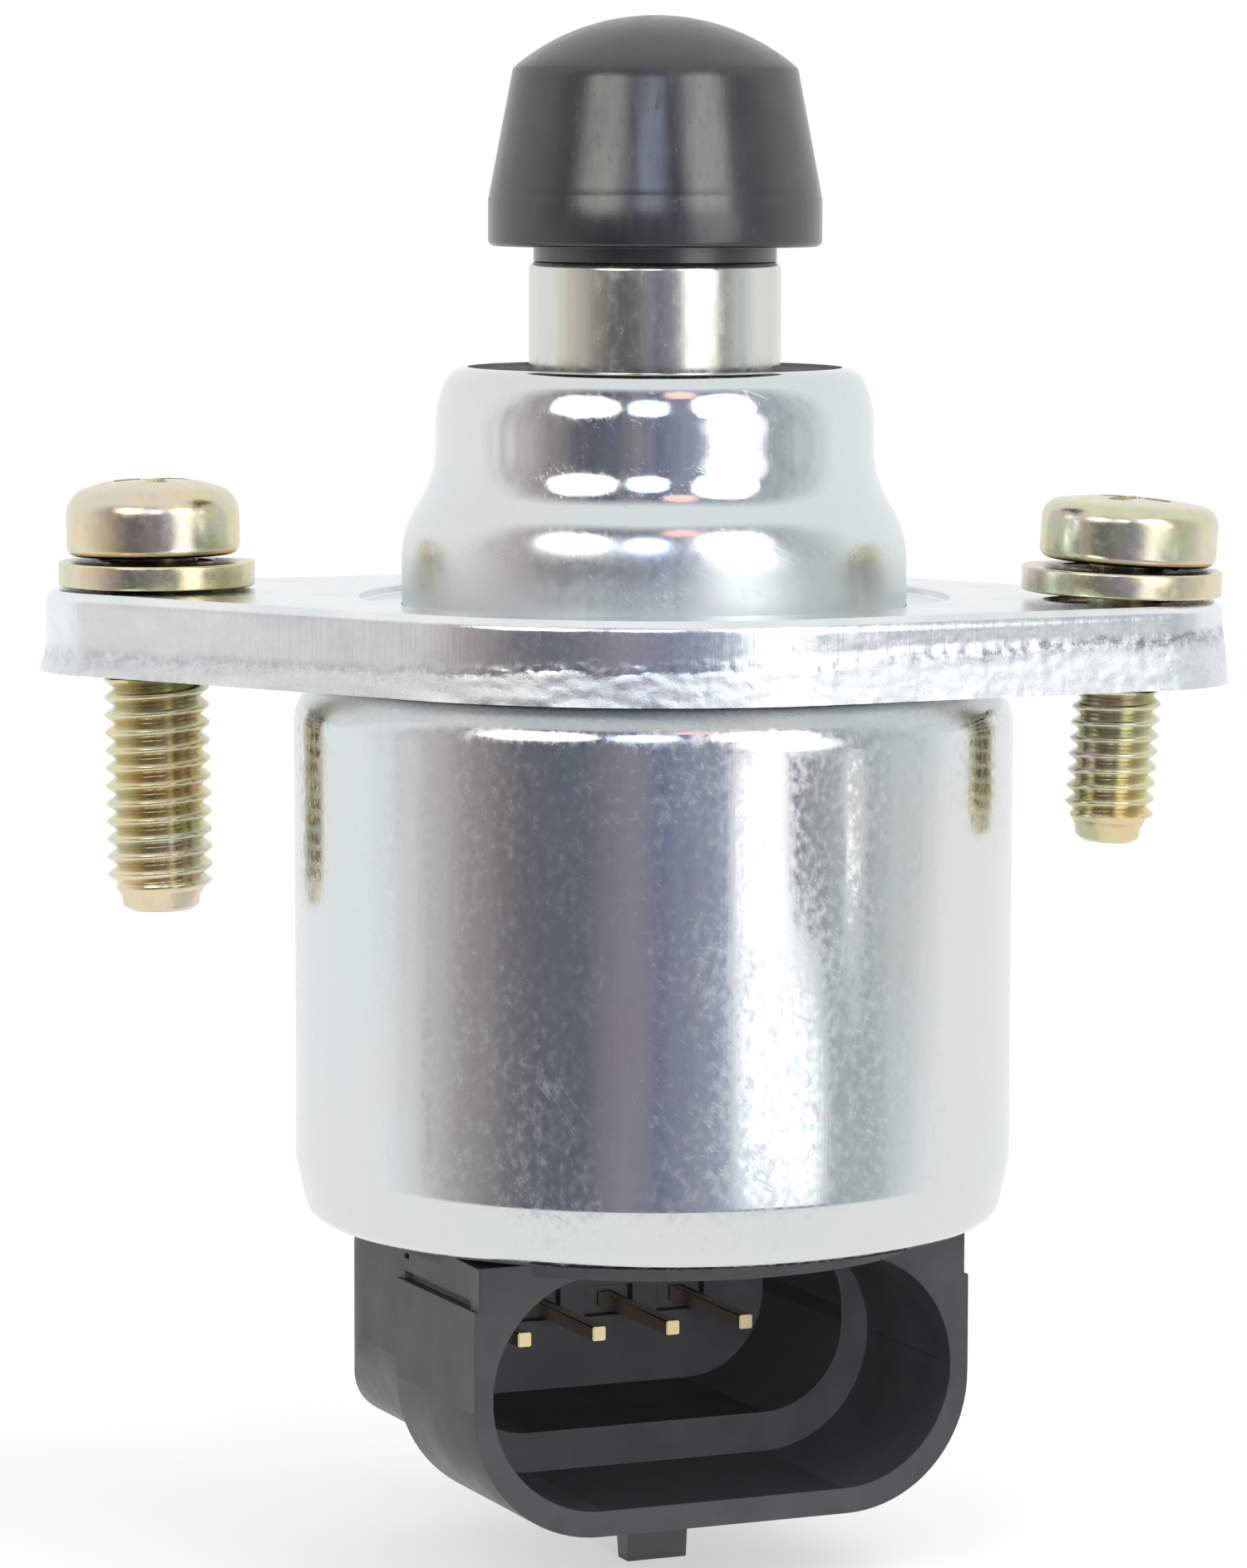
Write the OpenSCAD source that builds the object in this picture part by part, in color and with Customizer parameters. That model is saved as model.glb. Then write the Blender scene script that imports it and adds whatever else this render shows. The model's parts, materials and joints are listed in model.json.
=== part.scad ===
// Idle air control valve: a stepper motor in a drawn can pushes a pintle out of a flanged nose.
// Millimetres. The origin is on the pintle's axis, at the flange face on the nose side.
// +Z points out of the nose, -Y points out of the electrical socket.

/* [Mounting flange] */
// Thickness of the flange plate
flange_t = 3.6; // [3:0.1:4.5]
// Width of the flange's middle lobe outside the pressed ring
lobe_rim = 3.5; // [3.3:0.1:4.3]
// Distance between the two screw holes
hole_spacing = 42.7; // [41.8:0.1:46]
// How far the middle of the holes lies from the axis, towards the longer arm
hole_shift = 1.15; // [0:0.05:1.4]
// Radius of each end of the flange
end_r = 5.3; // [4.8:0.1:6]
// Radius of a screw hole
hole_r = 2.75; // [2.6:0.05:3]
// Turn of the flange's long axis from the socket's wide direction, in degrees
flange_turn = -31; // [-45:1:-15]
// Width of the ring pressed into the flange round the nose
ring_w = 1.9; // [1.2:0.1:2.8]
// Depth of that ring
ring_depth = 0.4; // [0.2:0.1:0.8]

/* [Nose cup] */
// How far the cup's root flares out from its barrel, where it leaves the flange
cup_flare = 1.7; // [1.5:0.1:2.1]
// Radius of the cup's barrel
cup_barrel_r = 9.5; // [9.3:0.1:9.8]
// Height of the cup above the flange
cup_h = 10.1; // [9.7:0.1:10.8]
// Wall of the cup
cup_wall = 0.9; // [0.7:0.1:1]
// Outer radius of the cup's upper rim
cup_rim_r = 1.2; // [1:0.1:1.3]
// Height at which the cup's root ends
cup_root_h = 1.3; // [1:0.1:2]
// Height at which the cup's barrel begins
cup_shoulder_h = 6.6; // [6:0.1:7]
// Share of the room between root and can that the cup's brim takes
brim_share = 0.58; // [0.4:0.02:0.8]

/* [Motor can] */
// Outer radius of the can
can_r = 16; // [15.7:0.1:16.4]
// Wall of the can
can_wall = 0.9; // [0.7:0.1:1]
// Height of the can
can_h = 24.6; // [24:0.1:26]
// Radius of the can's upper shoulder
shoulder_r = 2; // [1.2:0.1:2.2]
// Height of the can's tapered lower rim
rim_h = 3.3; // [2.9:0.1:3.6]
// How much that rim tapers
rim_in = 0.35; // [0.2:0.05:0.5]
// Rounding of the rim's lower edge
rim_edge_r = 1.2; // [1.1:0.1:1.4]
// How far the can's underside bulges below that edge
dish_h = 0.45; // [0.3:0.05:0.6]
// Radius of the opening under the can
mouth_r = 12.4; // [12.3:0.1:12.6]

/* [Pintle] */
// How far the cap's skirt stands out over the sleeve
cap_out = 1.8; // [1.4:0.02:2.2]
// How much narrower the cap is where its dome begins
cap_draft = 1.18; // [0.6:0.02:1.8]
// Height of the cap's straight skirt
skirt_h = 2.22; // [1.8:0.02:3]
// Height of the cap's cone
cone_h = 5.68; // [5:0.02:6.5]
// Height of the cap's dome
dome_h = 2.24; // [1.8:0.02:2.8]
// Height of the cap's foot above the flange
cap_z = 15.4; // [15.2:0.1:16.4]
// Wall of the bush that guides the steel sleeve
guide_wall = 2.9; // [2.78:0.02:3.08]
// Wall of the sleeve
sleeve_wall = 0.6; // [0.5:0.05:0.7]
// Height of the bare neck between sleeve and cap
neck_h = 0.65; // [0.4:0.05:1]
// Length of the sleeve
sleeve_h = 13.5; // [13.3:0.1:13.8]
// Radius of the sleeve's upper edge
sleeve_edge_r = 0.35; // [0.2:0.05:0.45]
// Radius of the lead screw
lead_r = 2; // [1.9:0.05:2.2]
// Height of the lead screw's lower end above the rear disc
lead_end = 2.5; // [1:0.5:4]

/* [Screws] */
// Thread radius of the left screw
left_thread_r = 2.45; // [2.2:0.05:2.5]
// Thread radius of the right screw
right_thread_r = 1.95; // [1.8:0.05:2.2]
// Length of the left screw under its head
left_screw_l = 16.2; // [14:0.1:20]
// Length of the right screw under its head
right_screw_l = 12.4; // [10:0.1:16]
// Radius of a screw head
head_r = 3.82; // [3.6:0.02:4.1]
// Height of the left screw's head
left_head_h = 3.2; // [2.8:0.1:3.6]
// Height of the right screw's head
right_head_h = 2.8; // [2.4:0.1:3.3]
// Rounding of a screw head's upper edge
head_edge_r = 0.9; // [0.6:0.1:1.2]
// Outer radius of a split lock washer
washer_r = 4.4; // [4.2:0.05:4.6]
// Thickness of a split lock washer
washer_t = 1.2; // [1:0.1:1.4]
// Gap between a washer and its screw head
head_gap = 0.5; // [0.3:0.1:0.8]

/* [Connector] */
// Half of the connector's width
conn_half_w = 11.88; // [11.8:0.02:12.2]
// Distance of the socket's rim in front of the axis
rim_y = 8; // [7.6:0.1:8.6]
// Depth of the socket's shroud, front to back
shroud_d = 9.2; // [9:0.1:9.8]
// Height of the shroud under the can
shroud_h = 12.25; // [12.15:0.05:12.8]
// Radius of the shroud's lower corners
shroud_corner_r = 5.9; // [5.4:0.1:6]
// Width of the socket's opening
socket_w = 22; // [21.4:0.1:22.2]
// Height of the socket's opening
socket_h = 10.45; // [9.9:0.05:10.5]
// Distance of the rear of the connector behind the axis
rear_y = 11.2; // [11.1:0.1:11.6]
// Height of the connector's rear body under the can
rear_h = 10.4; // [10.2:0.1:11.5]
// Pitch of the terminals
pin_pitch = 3.65; // [3.4:0.05:3.7]
// Side of a square terminal
pin_side = 0.64; // [0.5:0.02:0.7]

/* [Motor] */
// Thickness of the rear disc under the two coil stacks
disc_h = 4.2; // [4.1:0.05:4.6]
// Radius of the rotor magnet
magnet_r = 7.8; // [7.4:0.05:7.9]
// Number of claws on each pole plate
claws = 12; // [8:1:14]
// Number of balls in each bearing
balls = 9; // [7:1:10]
// Radius of a bearing ball
ball_r = 0.9; // [0.8:0.02:0.95]
// Turns of the preload spring
spring_turns = 6; // [4:1:7]
// Radius of the spring wire
wire_r = 0.35; // [0.25:0.05:0.4]

/* [Hidden] */
$fn = 96;

// Overrun of a cut past the face that it starts from
over = 0.5;
// Play between pieces that are pushed together
seat = 0.03;
// Play of a piece that slides or turns in another
running = 0.06;
// Steps in a rounded corner of a turned outline
corner_steps = 8;
// Steps in a rounded edge of the flange plate
edge_steps = 24;

// Levels down the axis
core_play = 0.05;
holder_h = 3.8;
can_top_z = -flange_t;
can_foot_z = can_top_z - can_h;
brim_z = can_top_z - can_wall;
holder_z = brim_z - cup_wall;
stack_z = holder_z - holder_h;
disc_foot_z = can_foot_z + can_wall;
disc_z = disc_foot_z + disc_h;
stack_h = (stack_z - disc_z) / 2;

// Radii inside the can
can_bore_r = can_r - can_wall;
core_r = can_bore_r - core_play;
sheet_t = 0.8;

// Nose, from the barrel out
cup_root_r = cup_barrel_r + cup_flare;
ring_r = cup_root_r + ring_w;
lobe_r = ring_r + lobe_rim;
brim_r = cup_root_r + (can_bore_r - cup_root_r) * brim_share;
sleeve_r = cup_barrel_r - cup_wall - guide_wall - 2 * running;
cap_r = sleeve_r + cap_out;
cap_top_r = cap_r - cap_draft;

// Pintle, from the cap down
sleeve_top_z = cap_z - neck_h;
sleeve_foot_z = sleeve_top_z - sleeve_h;
sleeve_bore_r = sleeve_r - sleeve_wall;
neck_in = 0.2;
neck_r = sleeve_r - neck_in;
plug_h = 5;
lead_grip = 2.8;
lead_top_z = cap_z + lead_grip;
lead_foot_z = disc_z + lead_end;
cap_edge_r = 0.3;
lug_h = 1.2;
lug_w = 2.2;
lug_reach = 1;

// Guide bush and dust seal
seal_t = 0.7;
seal_sink = 0.15;
seal_top_z = cup_h - seal_sink;
guide_top_z = cup_h - cup_rim_r - seal_t;
guide_floor_z = can_top_z;
guide_floor_t = 0.8;
guide_foot_t = 1.1;

// Bearings
bearing_h = 3.1;
bearing_r = 7.9;
journal_r = 3;
ball_ring_r = (bearing_r + journal_r) / 2;
race_gap = 0.65;
groove_r = ball_r + running;
holder_lip_h = 0.6;
bearing_sink = 0.15;
front_bearing_z = holder_z - holder_lip_h;
rear_bearing_z = disc_z - bearing_sink;
holder_lip_r = 4.6;

// Rotor and stator
nut_r = 5.2;
nut_inset = 0.5;
nut_top_z = stack_z - nut_inset;
nut_foot_z = disc_z + nut_inset;
magnet_inset = 0.5;
air_gap = 0.3;
claw_r = magnet_r + air_gap;
claw_gap_share = 0.12;
claw_tip_gap = 0.5;
bobbin_r = claw_r + sheet_t + core_play;
bobbin_wall = 0.5;
coil_r = core_r - sheet_t - air_gap;

// Spring
spring_r = (sleeve_bore_r + lead_r) / 2;
spring_foot_z = guide_floor_z + wire_r;
spring_top_z = sleeve_top_z - plug_h - wire_r;
spring_steps = 14;
wire_sides = 6;

// Rear seal and wave washer
seal_wire_r = 0.62;
seal_inset = 0.02;
seal_drop = 1.4;
seal_ring_r = core_r - seal_inset - seal_wire_r;
seal_z = disc_z - seal_drop;
wave_t = 0.25;
wave_lift = 0.12;
wave_count = 3;
wave_steps = 36;
wave_r = [5.4, 7.7];
wave_room = wave_t + 2 * wave_lift + running;
wave_z = rear_bearing_z - bearing_h - wave_room / 2;

// Screw places, on the flange's own long axis
arm_left = -hole_spacing / 2 - hole_shift;
arm_right = hole_spacing / 2 - hole_shift;
recess_w = 1.1;
recess_l = 4.6;
recess_depth = 1.5;
washer_seat = 0.02;
washer_play = 0.15;
tip_h = 0.9;
tip_share = 0.77;
neck_share = 0.84;
split_w = 0.6;
split_turn = 25;

// Connector levels, heights are counted down from the can's foot
conn_z = can_foot_z;
shroud_foot_z = conn_z - shroud_h;
step_h = 1.9;
step_w = 0.2;
groove_h = 0.35;
groove_d = 0.45;
notch_w = 1;
socket_drop = 5.88;
socket_z = conn_z - socket_drop;
ledge_y = 0.45;
socket_back_y = 9;
inner_socket_w = 19.4;
inner_socket_h = 8.5;
inner_socket_r = 3.9;
inner_socket_drop = 5.05;
inner_socket_z = conn_z - inner_socket_drop;
rear_corner_r = 5.3;
rear_edge_r = 4.8;
mouth_play = 0.2;
neck_disc_r = mouth_r - mouth_play;
disc_edge_r = rim_h - can_wall - rim_in;
pins = 4;
pin_mid = (pins + 1) / 2;
pin_drop = 5.34;
pin_z = conn_z - pin_drop;
pin_tip_y = 1.7;
pin_point = 0.35;
leg_y = 9.9;
pocket_w = 2.4;
pocket_h = 1.4;
pocket_d = 0.6;
nub_w = 2.9;
nub_h = 3.1;
nub_y = [-1, 1.1];
nub_slope = 0.7;

// Points along an arc from angle a0 to angle a1
function arc(x, y, r, a0, a1, steps = corner_steps) =
    [for (i = [0 : steps]) let (a = a0 + (a1 - a0) * i / steps) [x + r * cos(a), y + r * sin(a)]];

// A round tube that stands on height z
module tube(z, h, r_out, r_in) {
    translate([0, 0, z])
        difference() {
            cylinder(h = h, r = r_out);
            translate([0, 0, -over]) cylinder(h = h + 2 * over, r = r_in);
        }
}

// The nose's outline: root, two equal arcs that meet at mid height, barrel and rim, inset by t
cup_swing = 2 * atan((cup_root_r - cup_barrel_r) / (cup_shoulder_h - cup_root_h));
cup_bend_r = (cup_shoulder_h - cup_root_h) / 2 / sin(cup_swing);
function cup_outline(t) = concat(
    arc(cup_root_r - cup_bend_r, cup_root_h, cup_bend_r - t, 0, cup_swing),
    arc(cup_barrel_r + cup_bend_r, cup_shoulder_h, cup_bend_r + t, 180 + cup_swing, 180),
    arc(cup_barrel_r - cup_rim_r, cup_h - cup_rim_r, cup_rim_r - t, 0, 90));

// Plate outline: the middle lobe and both ends as arcs, joined by the lines that touch them
lean_left = asin((lobe_r - end_r) / -arm_left);
lean_right = asin((lobe_r - end_r) / arm_right);
flange_outline = concat(
    arc(arm_right, 0, end_r, lean_right - 90, 90 - lean_right, edge_steps),
    arc(0, 0, lobe_r, 90 - lean_right, 90 + lean_left, edge_steps),
    arc(arm_left, 0, end_r, 90 + lean_left, 270 - lean_left, edge_steps),
    arc(0, 0, lobe_r, 270 - lean_left, 270 + lean_right, edge_steps));

module mounting_flange() {
    color("silver")
    rotate([0, 0, flange_turn])
    difference() {
        translate([0, 0, -flange_t])
            linear_extrude(height = flange_t) polygon(flange_outline);
        for (arm = [arm_left, arm_right])
            translate([arm, 0, -flange_t - over]) cylinder(h = flange_t + 2 * over, r = hole_r);
        translate([0, 0, -flange_t - over]) cylinder(h = flange_t + 2 * over, r = cup_root_r + seat);
        translate([0, 0, -ring_depth]) cylinder(h = ring_depth + over, r = ring_r);
    }
}

module nose_cup() {
    color("gainsboro")
    rotate_extrude()
        polygon(concat([[brim_r, holder_z], [brim_r, brim_z], [cup_root_r, brim_z]], cup_outline(0),
                       [for (i = [3 * corner_steps + 2 : -1 : 0]) cup_outline(cup_wall)[i]],
                       [[cup_root_r - cup_wall, holder_z]]));
}

module motor_can() {
    rim_x = can_r - rim_in - rim_edge_r;
    rim_z = can_foot_z + dish_h + rim_edge_r;
    color("gainsboro")
    rotate_extrude()
        polygon(concat([[cup_root_r + seat, brim_z], [cup_root_r + seat, can_top_z]],
                       arc(can_r - shoulder_r, can_top_z - shoulder_r, shoulder_r, 90, 0),
                       [[can_r, can_foot_z + rim_h]],
                       arc(rim_x, rim_z, rim_edge_r, 0, -90),
                       [[mouth_r, can_foot_z], [mouth_r, disc_foot_z]],
                       arc(rim_x, rim_z, rim_edge_r - can_wall, -90, 0),
                       [[can_bore_r, can_foot_z + rim_h]],
                       arc(can_r - shoulder_r, can_top_z - shoulder_r, shoulder_r - can_wall, 0, 90)));
}

module pintle_cap() {
    cone_z = cap_z + skirt_h;
    dome_z = cone_z + cone_h;
    dome_r = (cap_top_r * cap_top_r + dome_h * dome_h) / (2 * dome_h);
    dome_half = asin(cap_top_r / dome_r);
    color([0.09, 0.09, 0.1])
    difference() {
        rotate_extrude()
            polygon(concat([[0, sleeve_top_z - plug_h], [sleeve_bore_r - seat, sleeve_top_z - plug_h],
                            [sleeve_bore_r - seat, sleeve_top_z], [neck_r, sleeve_top_z], [neck_r, cap_z]],
                           arc(cap_r - cap_edge_r, cap_z + cap_edge_r, cap_edge_r, -90, 0),
                           [[cap_r, cone_z]],
                           arc(0, dome_z + dome_h - dome_r, dome_r, 90 - dome_half, 90)));
        translate([0, 0, sleeve_top_z - plug_h - over])
            cylinder(h = lead_top_z - sleeve_top_z + plug_h + over + seat, r = lead_r + seat);
    }
}

module plunger_sleeve() {
    color([0.84, 0.82, 0.74])
    union() {
        rotate_extrude()
            polygon(concat([[sleeve_bore_r, sleeve_foot_z], [sleeve_r, sleeve_foot_z]],
                           arc(sleeve_r - sleeve_edge_r, sleeve_top_z - sleeve_edge_r, sleeve_edge_r, 0, 90),
                           [[sleeve_bore_r, sleeve_top_z]]));
        for (turn = [0, 180])
            rotate([0, 0, turn])
                translate([sleeve_r - sleeve_wall / 2, -lug_w / 2, sleeve_foot_z])
                    cube([sleeve_wall / 2 + lug_reach, lug_w, lug_h]);
    }
}

module lead_screw() {
    color("silver")
    translate([0, 0, lead_foot_z]) cylinder(h = lead_top_z - lead_foot_z, r = lead_r);
}

// Rings of points along the helix, each ring across the wire
function spring_ring(i) =
    let (total = spring_turns * spring_steps, turn = 360 * i / spring_steps,
         z = spring_foot_z + (spring_top_z - spring_foot_z) * i / total)
    [for (k = [0 : wire_sides - 1]) let (a = 360 * k / wire_sides, r = spring_r + wire_r * cos(a))
        [r * cos(turn), r * sin(turn), z + wire_r * sin(a)]];

// Side faces between one ring and the next, in a closed or an open run of rings
function band(i, sides, next) =
    [for (k = [0 : sides - 1])
        [i * sides + k, next * sides + k, next * sides + (k + 1) % sides, i * sides + (k + 1) % sides]];

module preload_spring() {
    total = spring_turns * spring_steps;
    color("slategray")
    polyhedron(points = [for (i = [0 : total]) each spring_ring(i)],
               faces = concat([[for (k = [0 : wire_sides - 1]) k]],
                              [for (i = [0 : total - 1]) each band(i, wire_sides, i + 1)],
                              [[for (k = [wire_sides - 1 : -1 : 0]) total * wire_sides + k]]));
}

module dust_seal() {
    rim_bore_r = cup_barrel_r - cup_rim_r;
    color([0.05, 0.06, 0.06])
    union() {
        tube(guide_top_z, seal_top_z - guide_top_z, rim_bore_r - seat, sleeve_r + running);
        tube(guide_top_z, seal_t, cup_barrel_r - cup_wall - seat, sleeve_r + running);
    }
}

module guide_bush() {
    body_r = cup_barrel_r - cup_wall - running;
    foot_r = cup_root_r - cup_wall - running;
    color("ivory")
    difference() {
        union() {
            translate([0, 0, holder_z]) cylinder(h = guide_top_z - holder_z, r = body_r);
            translate([0, 0, holder_z]) cylinder(h = guide_foot_t, r = foot_r);
        }
        translate([0, 0, guide_floor_z]) cylinder(h = guide_top_z - guide_floor_z + over, r = sleeve_r + running);
        translate([0, 0, holder_z - over])
            cylinder(h = guide_floor_z - guide_floor_t - holder_z + over, r = holder_lip_r);
        translate([0, 0, guide_floor_z - guide_floor_t - over])
            cylinder(h = guide_floor_t + 2 * over, r = lead_r + 2 * running);
        translate([-sleeve_r - lug_reach - 2 * running, -lug_w / 2 - running, guide_floor_z])
            cube([2 * (sleeve_r + lug_reach + 2 * running), lug_w + 2 * running,
                  guide_top_z - guide_floor_z + over]);
    }
}

// A cheese head with a rounded upper edge and a cross recess, a plain neck, the thread and a dog point
module screw(thread_r, length, head_h) {
    head_z = washer_seat + washer_t + head_gap;
    tip_z = head_z - length;
    tip_r = thread_r * tip_share;
    neck_share_r = thread_r * neck_share;
    difference() {
        rotate_extrude()
            polygon(concat([[0, tip_z], [tip_r, tip_z], [tip_r, tip_z + tip_h], [thread_r, tip_z + tip_h],
                            [thread_r, can_top_z], [neck_share_r, can_top_z], [neck_share_r, head_z],
                            [head_r, head_z]],
                           arc(head_r - head_edge_r, head_z + head_h - head_edge_r, head_edge_r, 0, 90),
                           [[0, head_z + head_h]]));
        for (turn = [0, 90])
            rotate([0, 0, turn])
                translate([-recess_l / 2, -recess_w / 2, head_z + head_h - recess_depth])
                    cube([recess_l, recess_w, recess_depth + over]);
    }
}

// A split ring: the cut goes through one side of its wall
module lock_washer(bore_r) {
    difference() {
        tube(washer_seat, washer_t, washer_r, bore_r);
        rotate([0, 0, split_turn])
            translate([0, -split_w / 2, washer_seat - over])
                cube([washer_r + over, split_w, washer_t + 2 * over]);
    }
}

module at_arm(arm) {
    rotate([0, 0, flange_turn]) translate([arm, 0, 0]) children();
}

module screw_left() {
    color([0.72, 0.64, 0.4]) at_arm(arm_left) screw(left_thread_r, left_screw_l, left_head_h);
}

module screw_right() {
    color([0.74, 0.66, 0.45]) at_arm(arm_right) screw(right_thread_r, right_screw_l, right_head_h);
}

module lock_washer_left() {
    color([0.76, 0.68, 0.44]) at_arm(arm_left) lock_washer(left_thread_r + washer_play);
}

module lock_washer_right() {
    color([0.76, 0.66, 0.5]) at_arm(arm_right) lock_washer(left_thread_r + washer_play);
}

module front_bearing_holder() {
    color("dimgray")
    difference() {
        translate([0, 0, holder_z - holder_h]) cylinder(h = holder_h, r = core_r);
        translate([0, 0, holder_z - holder_h - over]) cylinder(h = holder_h + 2 * over, r = holder_lip_r);
        translate([0, 0, stack_z - over])
            cylinder(h = front_bearing_z - stack_z + over, r = bearing_r + seat);
    }
}

// A bearing whose upper face is at height z: races with a ball groove, and the balls
module bearing_race(z, r_out, r_in) {
    difference() {
        tube(z - bearing_h, bearing_h, r_out, r_in);
        translate([0, 0, z - bearing_h / 2])
            rotate_extrude() translate([ball_ring_r, 0]) circle(r = groove_r, $fn = 32);
    }
}

module bearing_balls(z) {
    for (i = [0 : balls - 1])
        rotate([0, 0, 360 * i / balls])
            translate([ball_ring_r, 0, z - bearing_h / 2]) sphere(r = ball_r, $fn = 32);
}

module front_bearing_outer_race() {
    color("lightsteelblue") bearing_race(front_bearing_z, bearing_r, ball_ring_r + race_gap);
}

module front_bearing_inner_race() {
    color("lightsteelblue") bearing_race(front_bearing_z, ball_ring_r - race_gap, journal_r + seat);
}

module front_bearing_balls() {
    color("silver") bearing_balls(front_bearing_z);
}

module rear_bearing_outer_race() {
    color("lightsteelblue") bearing_race(rear_bearing_z, bearing_r, ball_ring_r + race_gap);
}

module rear_bearing_inner_race() {
    color("lightsteelblue") bearing_race(rear_bearing_z, ball_ring_r - race_gap, journal_r + seat);
}

module rear_bearing_balls() {
    color("silver") bearing_balls(rear_bearing_z);
}

module rotor_magnet() {
    color([0.2, 0.19, 0.2])
    tube(nut_foot_z + magnet_inset, nut_top_z - nut_foot_z - 2 * magnet_inset, magnet_r, nut_r + seat);
}

// The rotor's hub: a threaded core between two bearing journals
module rotor_nut() {
    color("burlywood")
    difference() {
        union() {
            translate([0, 0, nut_foot_z]) cylinder(h = nut_top_z - nut_foot_z, r = nut_r);
            translate([0, 0, rear_bearing_z - bearing_h])
                cylinder(h = front_bearing_z - rear_bearing_z + bearing_h, r = journal_r);
        }
        translate([0, 0, rear_bearing_z - bearing_h - over])
            cylinder(h = front_bearing_z - rear_bearing_z + bearing_h + 2 * over, r = lead_r + running);
    }
}

// Claw poles: a ring of sheet with the gaps between the claws cut away
module claw_ring(z, h, turn) {
    pitch = 360 / claws;
    half_w = claw_r * sin(pitch * (0.5 - claw_gap_share) / 2);
    intersection() {
        tube(z, h, claw_r + sheet_t, claw_r);
        for (i = [0 : claws - 1])
            rotate([0, 0, turn + pitch * i])
                translate([claw_r - over, -half_w, z - over]) cube([sheet_t + 2 * over, 2 * half_w, h + 2 * over]);
    }
}

// A pole cup: outer wall, end wall at z_end, and claws that point into the stack
module pole_cup(z_low, end_at_top) {
    end_z = end_at_top ? z_low + stack_h - sheet_t : z_low;
    wall_z = end_at_top ? z_low + sheet_t : z_low;
    claw_h = stack_h - 2 * sheet_t - claw_tip_gap;
    claw_z = end_at_top ? end_z - claw_h : end_z + sheet_t;
    union() {
        tube(wall_z, stack_h - sheet_t, core_r, core_r - sheet_t);
        tube(end_z, sheet_t, core_r, claw_r);
        claw_ring(claw_z - (end_at_top ? 0 : sheet_t / 2), claw_h + sheet_t / 2, 0);
    }
}

module pole_plate(z, claws_up) {
    claw_h = stack_h - 2 * sheet_t - claw_tip_gap;
    union() {
        tube(z, sheet_t, core_r, claw_r);
        claw_ring(claws_up ? z + sheet_t / 2 : z - claw_h, claw_h + sheet_t / 2, 180 / claws);
    }
}

module stator_cup_front() {
    color("lightgray") pole_cup(stack_z - stack_h, true);
}

module stator_plate_front() {
    color("lightgray") pole_plate(stack_z - stack_h, true);
}

module stator_plate_rear() {
    color("lightgray") pole_plate(stack_z - stack_h - sheet_t, false);
}

module stator_cup_rear() {
    color("lightgray") pole_cup(disc_z, false);
}

// A bobbin between the sheet faces of one stack, whose lower face is at z_low
module bobbin(z_low) {
    h = stack_h - 2 * sheet_t;
    rotate_extrude()
        polygon([[bobbin_r, z_low], [coil_r, z_low], [coil_r, z_low + bobbin_wall],
                 [bobbin_r + bobbin_wall, z_low + bobbin_wall], [bobbin_r + bobbin_wall, z_low + h - bobbin_wall],
                 [coil_r, z_low + h - bobbin_wall], [coil_r, z_low + h], [bobbin_r, z_low + h]]);
}

module coil(z_low) {
    h = stack_h - 2 * sheet_t - 2 * bobbin_wall;
    tube(z_low + bobbin_wall, h, coil_r - bobbin_wall, bobbin_r + bobbin_wall);
}

module bobbin_front() {
    color("ivory") bobbin(stack_z - stack_h + sheet_t);
}

module bobbin_rear() {
    color("ivory") bobbin(disc_z + sheet_t);
}

module coil_front() {
    color("peru") coil(stack_z - stack_h + sheet_t);
}

module coil_rear() {
    color("peru") coil(disc_z + sheet_t);
}

// Four corners across the wavy ring at step i
function wave_ring(i) =
    let (a = 360 * i / wave_steps, z = wave_z + wave_lift * sin(a * wave_count))
    [for (c = [[wave_r[0], -wave_t / 2], [wave_r[1], -wave_t / 2], [wave_r[1], wave_t / 2], [wave_r[0], wave_t / 2]])
        [c[0] * cos(a), c[0] * sin(a), z + c[1]]];

module wave_washer() {
    color("silver")
    polyhedron(points = [for (i = [0 : wave_steps - 1]) each wave_ring(i)],
               faces = [for (i = [0 : wave_steps - 1]) each band(i, 4, (i + 1) % wave_steps)]);
}

module rear_seal() {
    color([0.05, 0.05, 0.05])
    translate([0, 0, seal_z]) rotate_extrude() translate([seal_ring_r, 0]) circle(r = seal_wire_r, $fn = 32);
}

// A terminal: a straight pin with a chamfered tip and a leg that rises to the coils
module terminal(n, grow) {
    x = (n - pin_mid) * pin_pitch;
    half = pin_side / 2 + grow;
    leg_back = leg_y + pin_side + grow;
    translate([x - half, 0, 0]) {
        rotate([90, 0, 90])
            linear_extrude(height = 2 * half)
                polygon([[pin_tip_y, pin_z - half + pin_point / 2], [pin_tip_y + pin_point, pin_z - half],
                         [leg_back, pin_z - half], [leg_back, disc_z - seal_wire_r + grow],
                         [leg_y - grow, disc_z - seal_wire_r + grow], [leg_y - grow, pin_z + half],
                         [pin_tip_y + pin_point, pin_z + half], [pin_tip_y, pin_z + half - pin_point / 2]]);
    }
}

module terminal_1() {
    color("gold") terminal(1, 0);
}

module terminal_2() {
    color("gold") terminal(2, 0);
}

module terminal_3() {
    color("gold") terminal(3, 0);
}

module terminal_4() {
    color("gold") terminal(4, 0);
}

// A flat outline drawn across the socket, pushed back from y0 to y1
module from_front(y0, y1) {
    translate([0, y1, 0]) rotate([90, 0, 0]) linear_extrude(height = y1 - y0) children();
}

// An outline with square upper corners and round lower ones
module u_outline(half_w, z_top, z_foot, r) {
    translate([-half_w, z_foot + r]) square([2 * half_w, z_top - z_foot - r]);
    translate([-half_w + r, z_foot]) square([2 * (half_w - r), r]);
    for (side = [-1, 1])
        translate([side * (half_w - r), z_foot + r]) circle(r = r);
}

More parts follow.
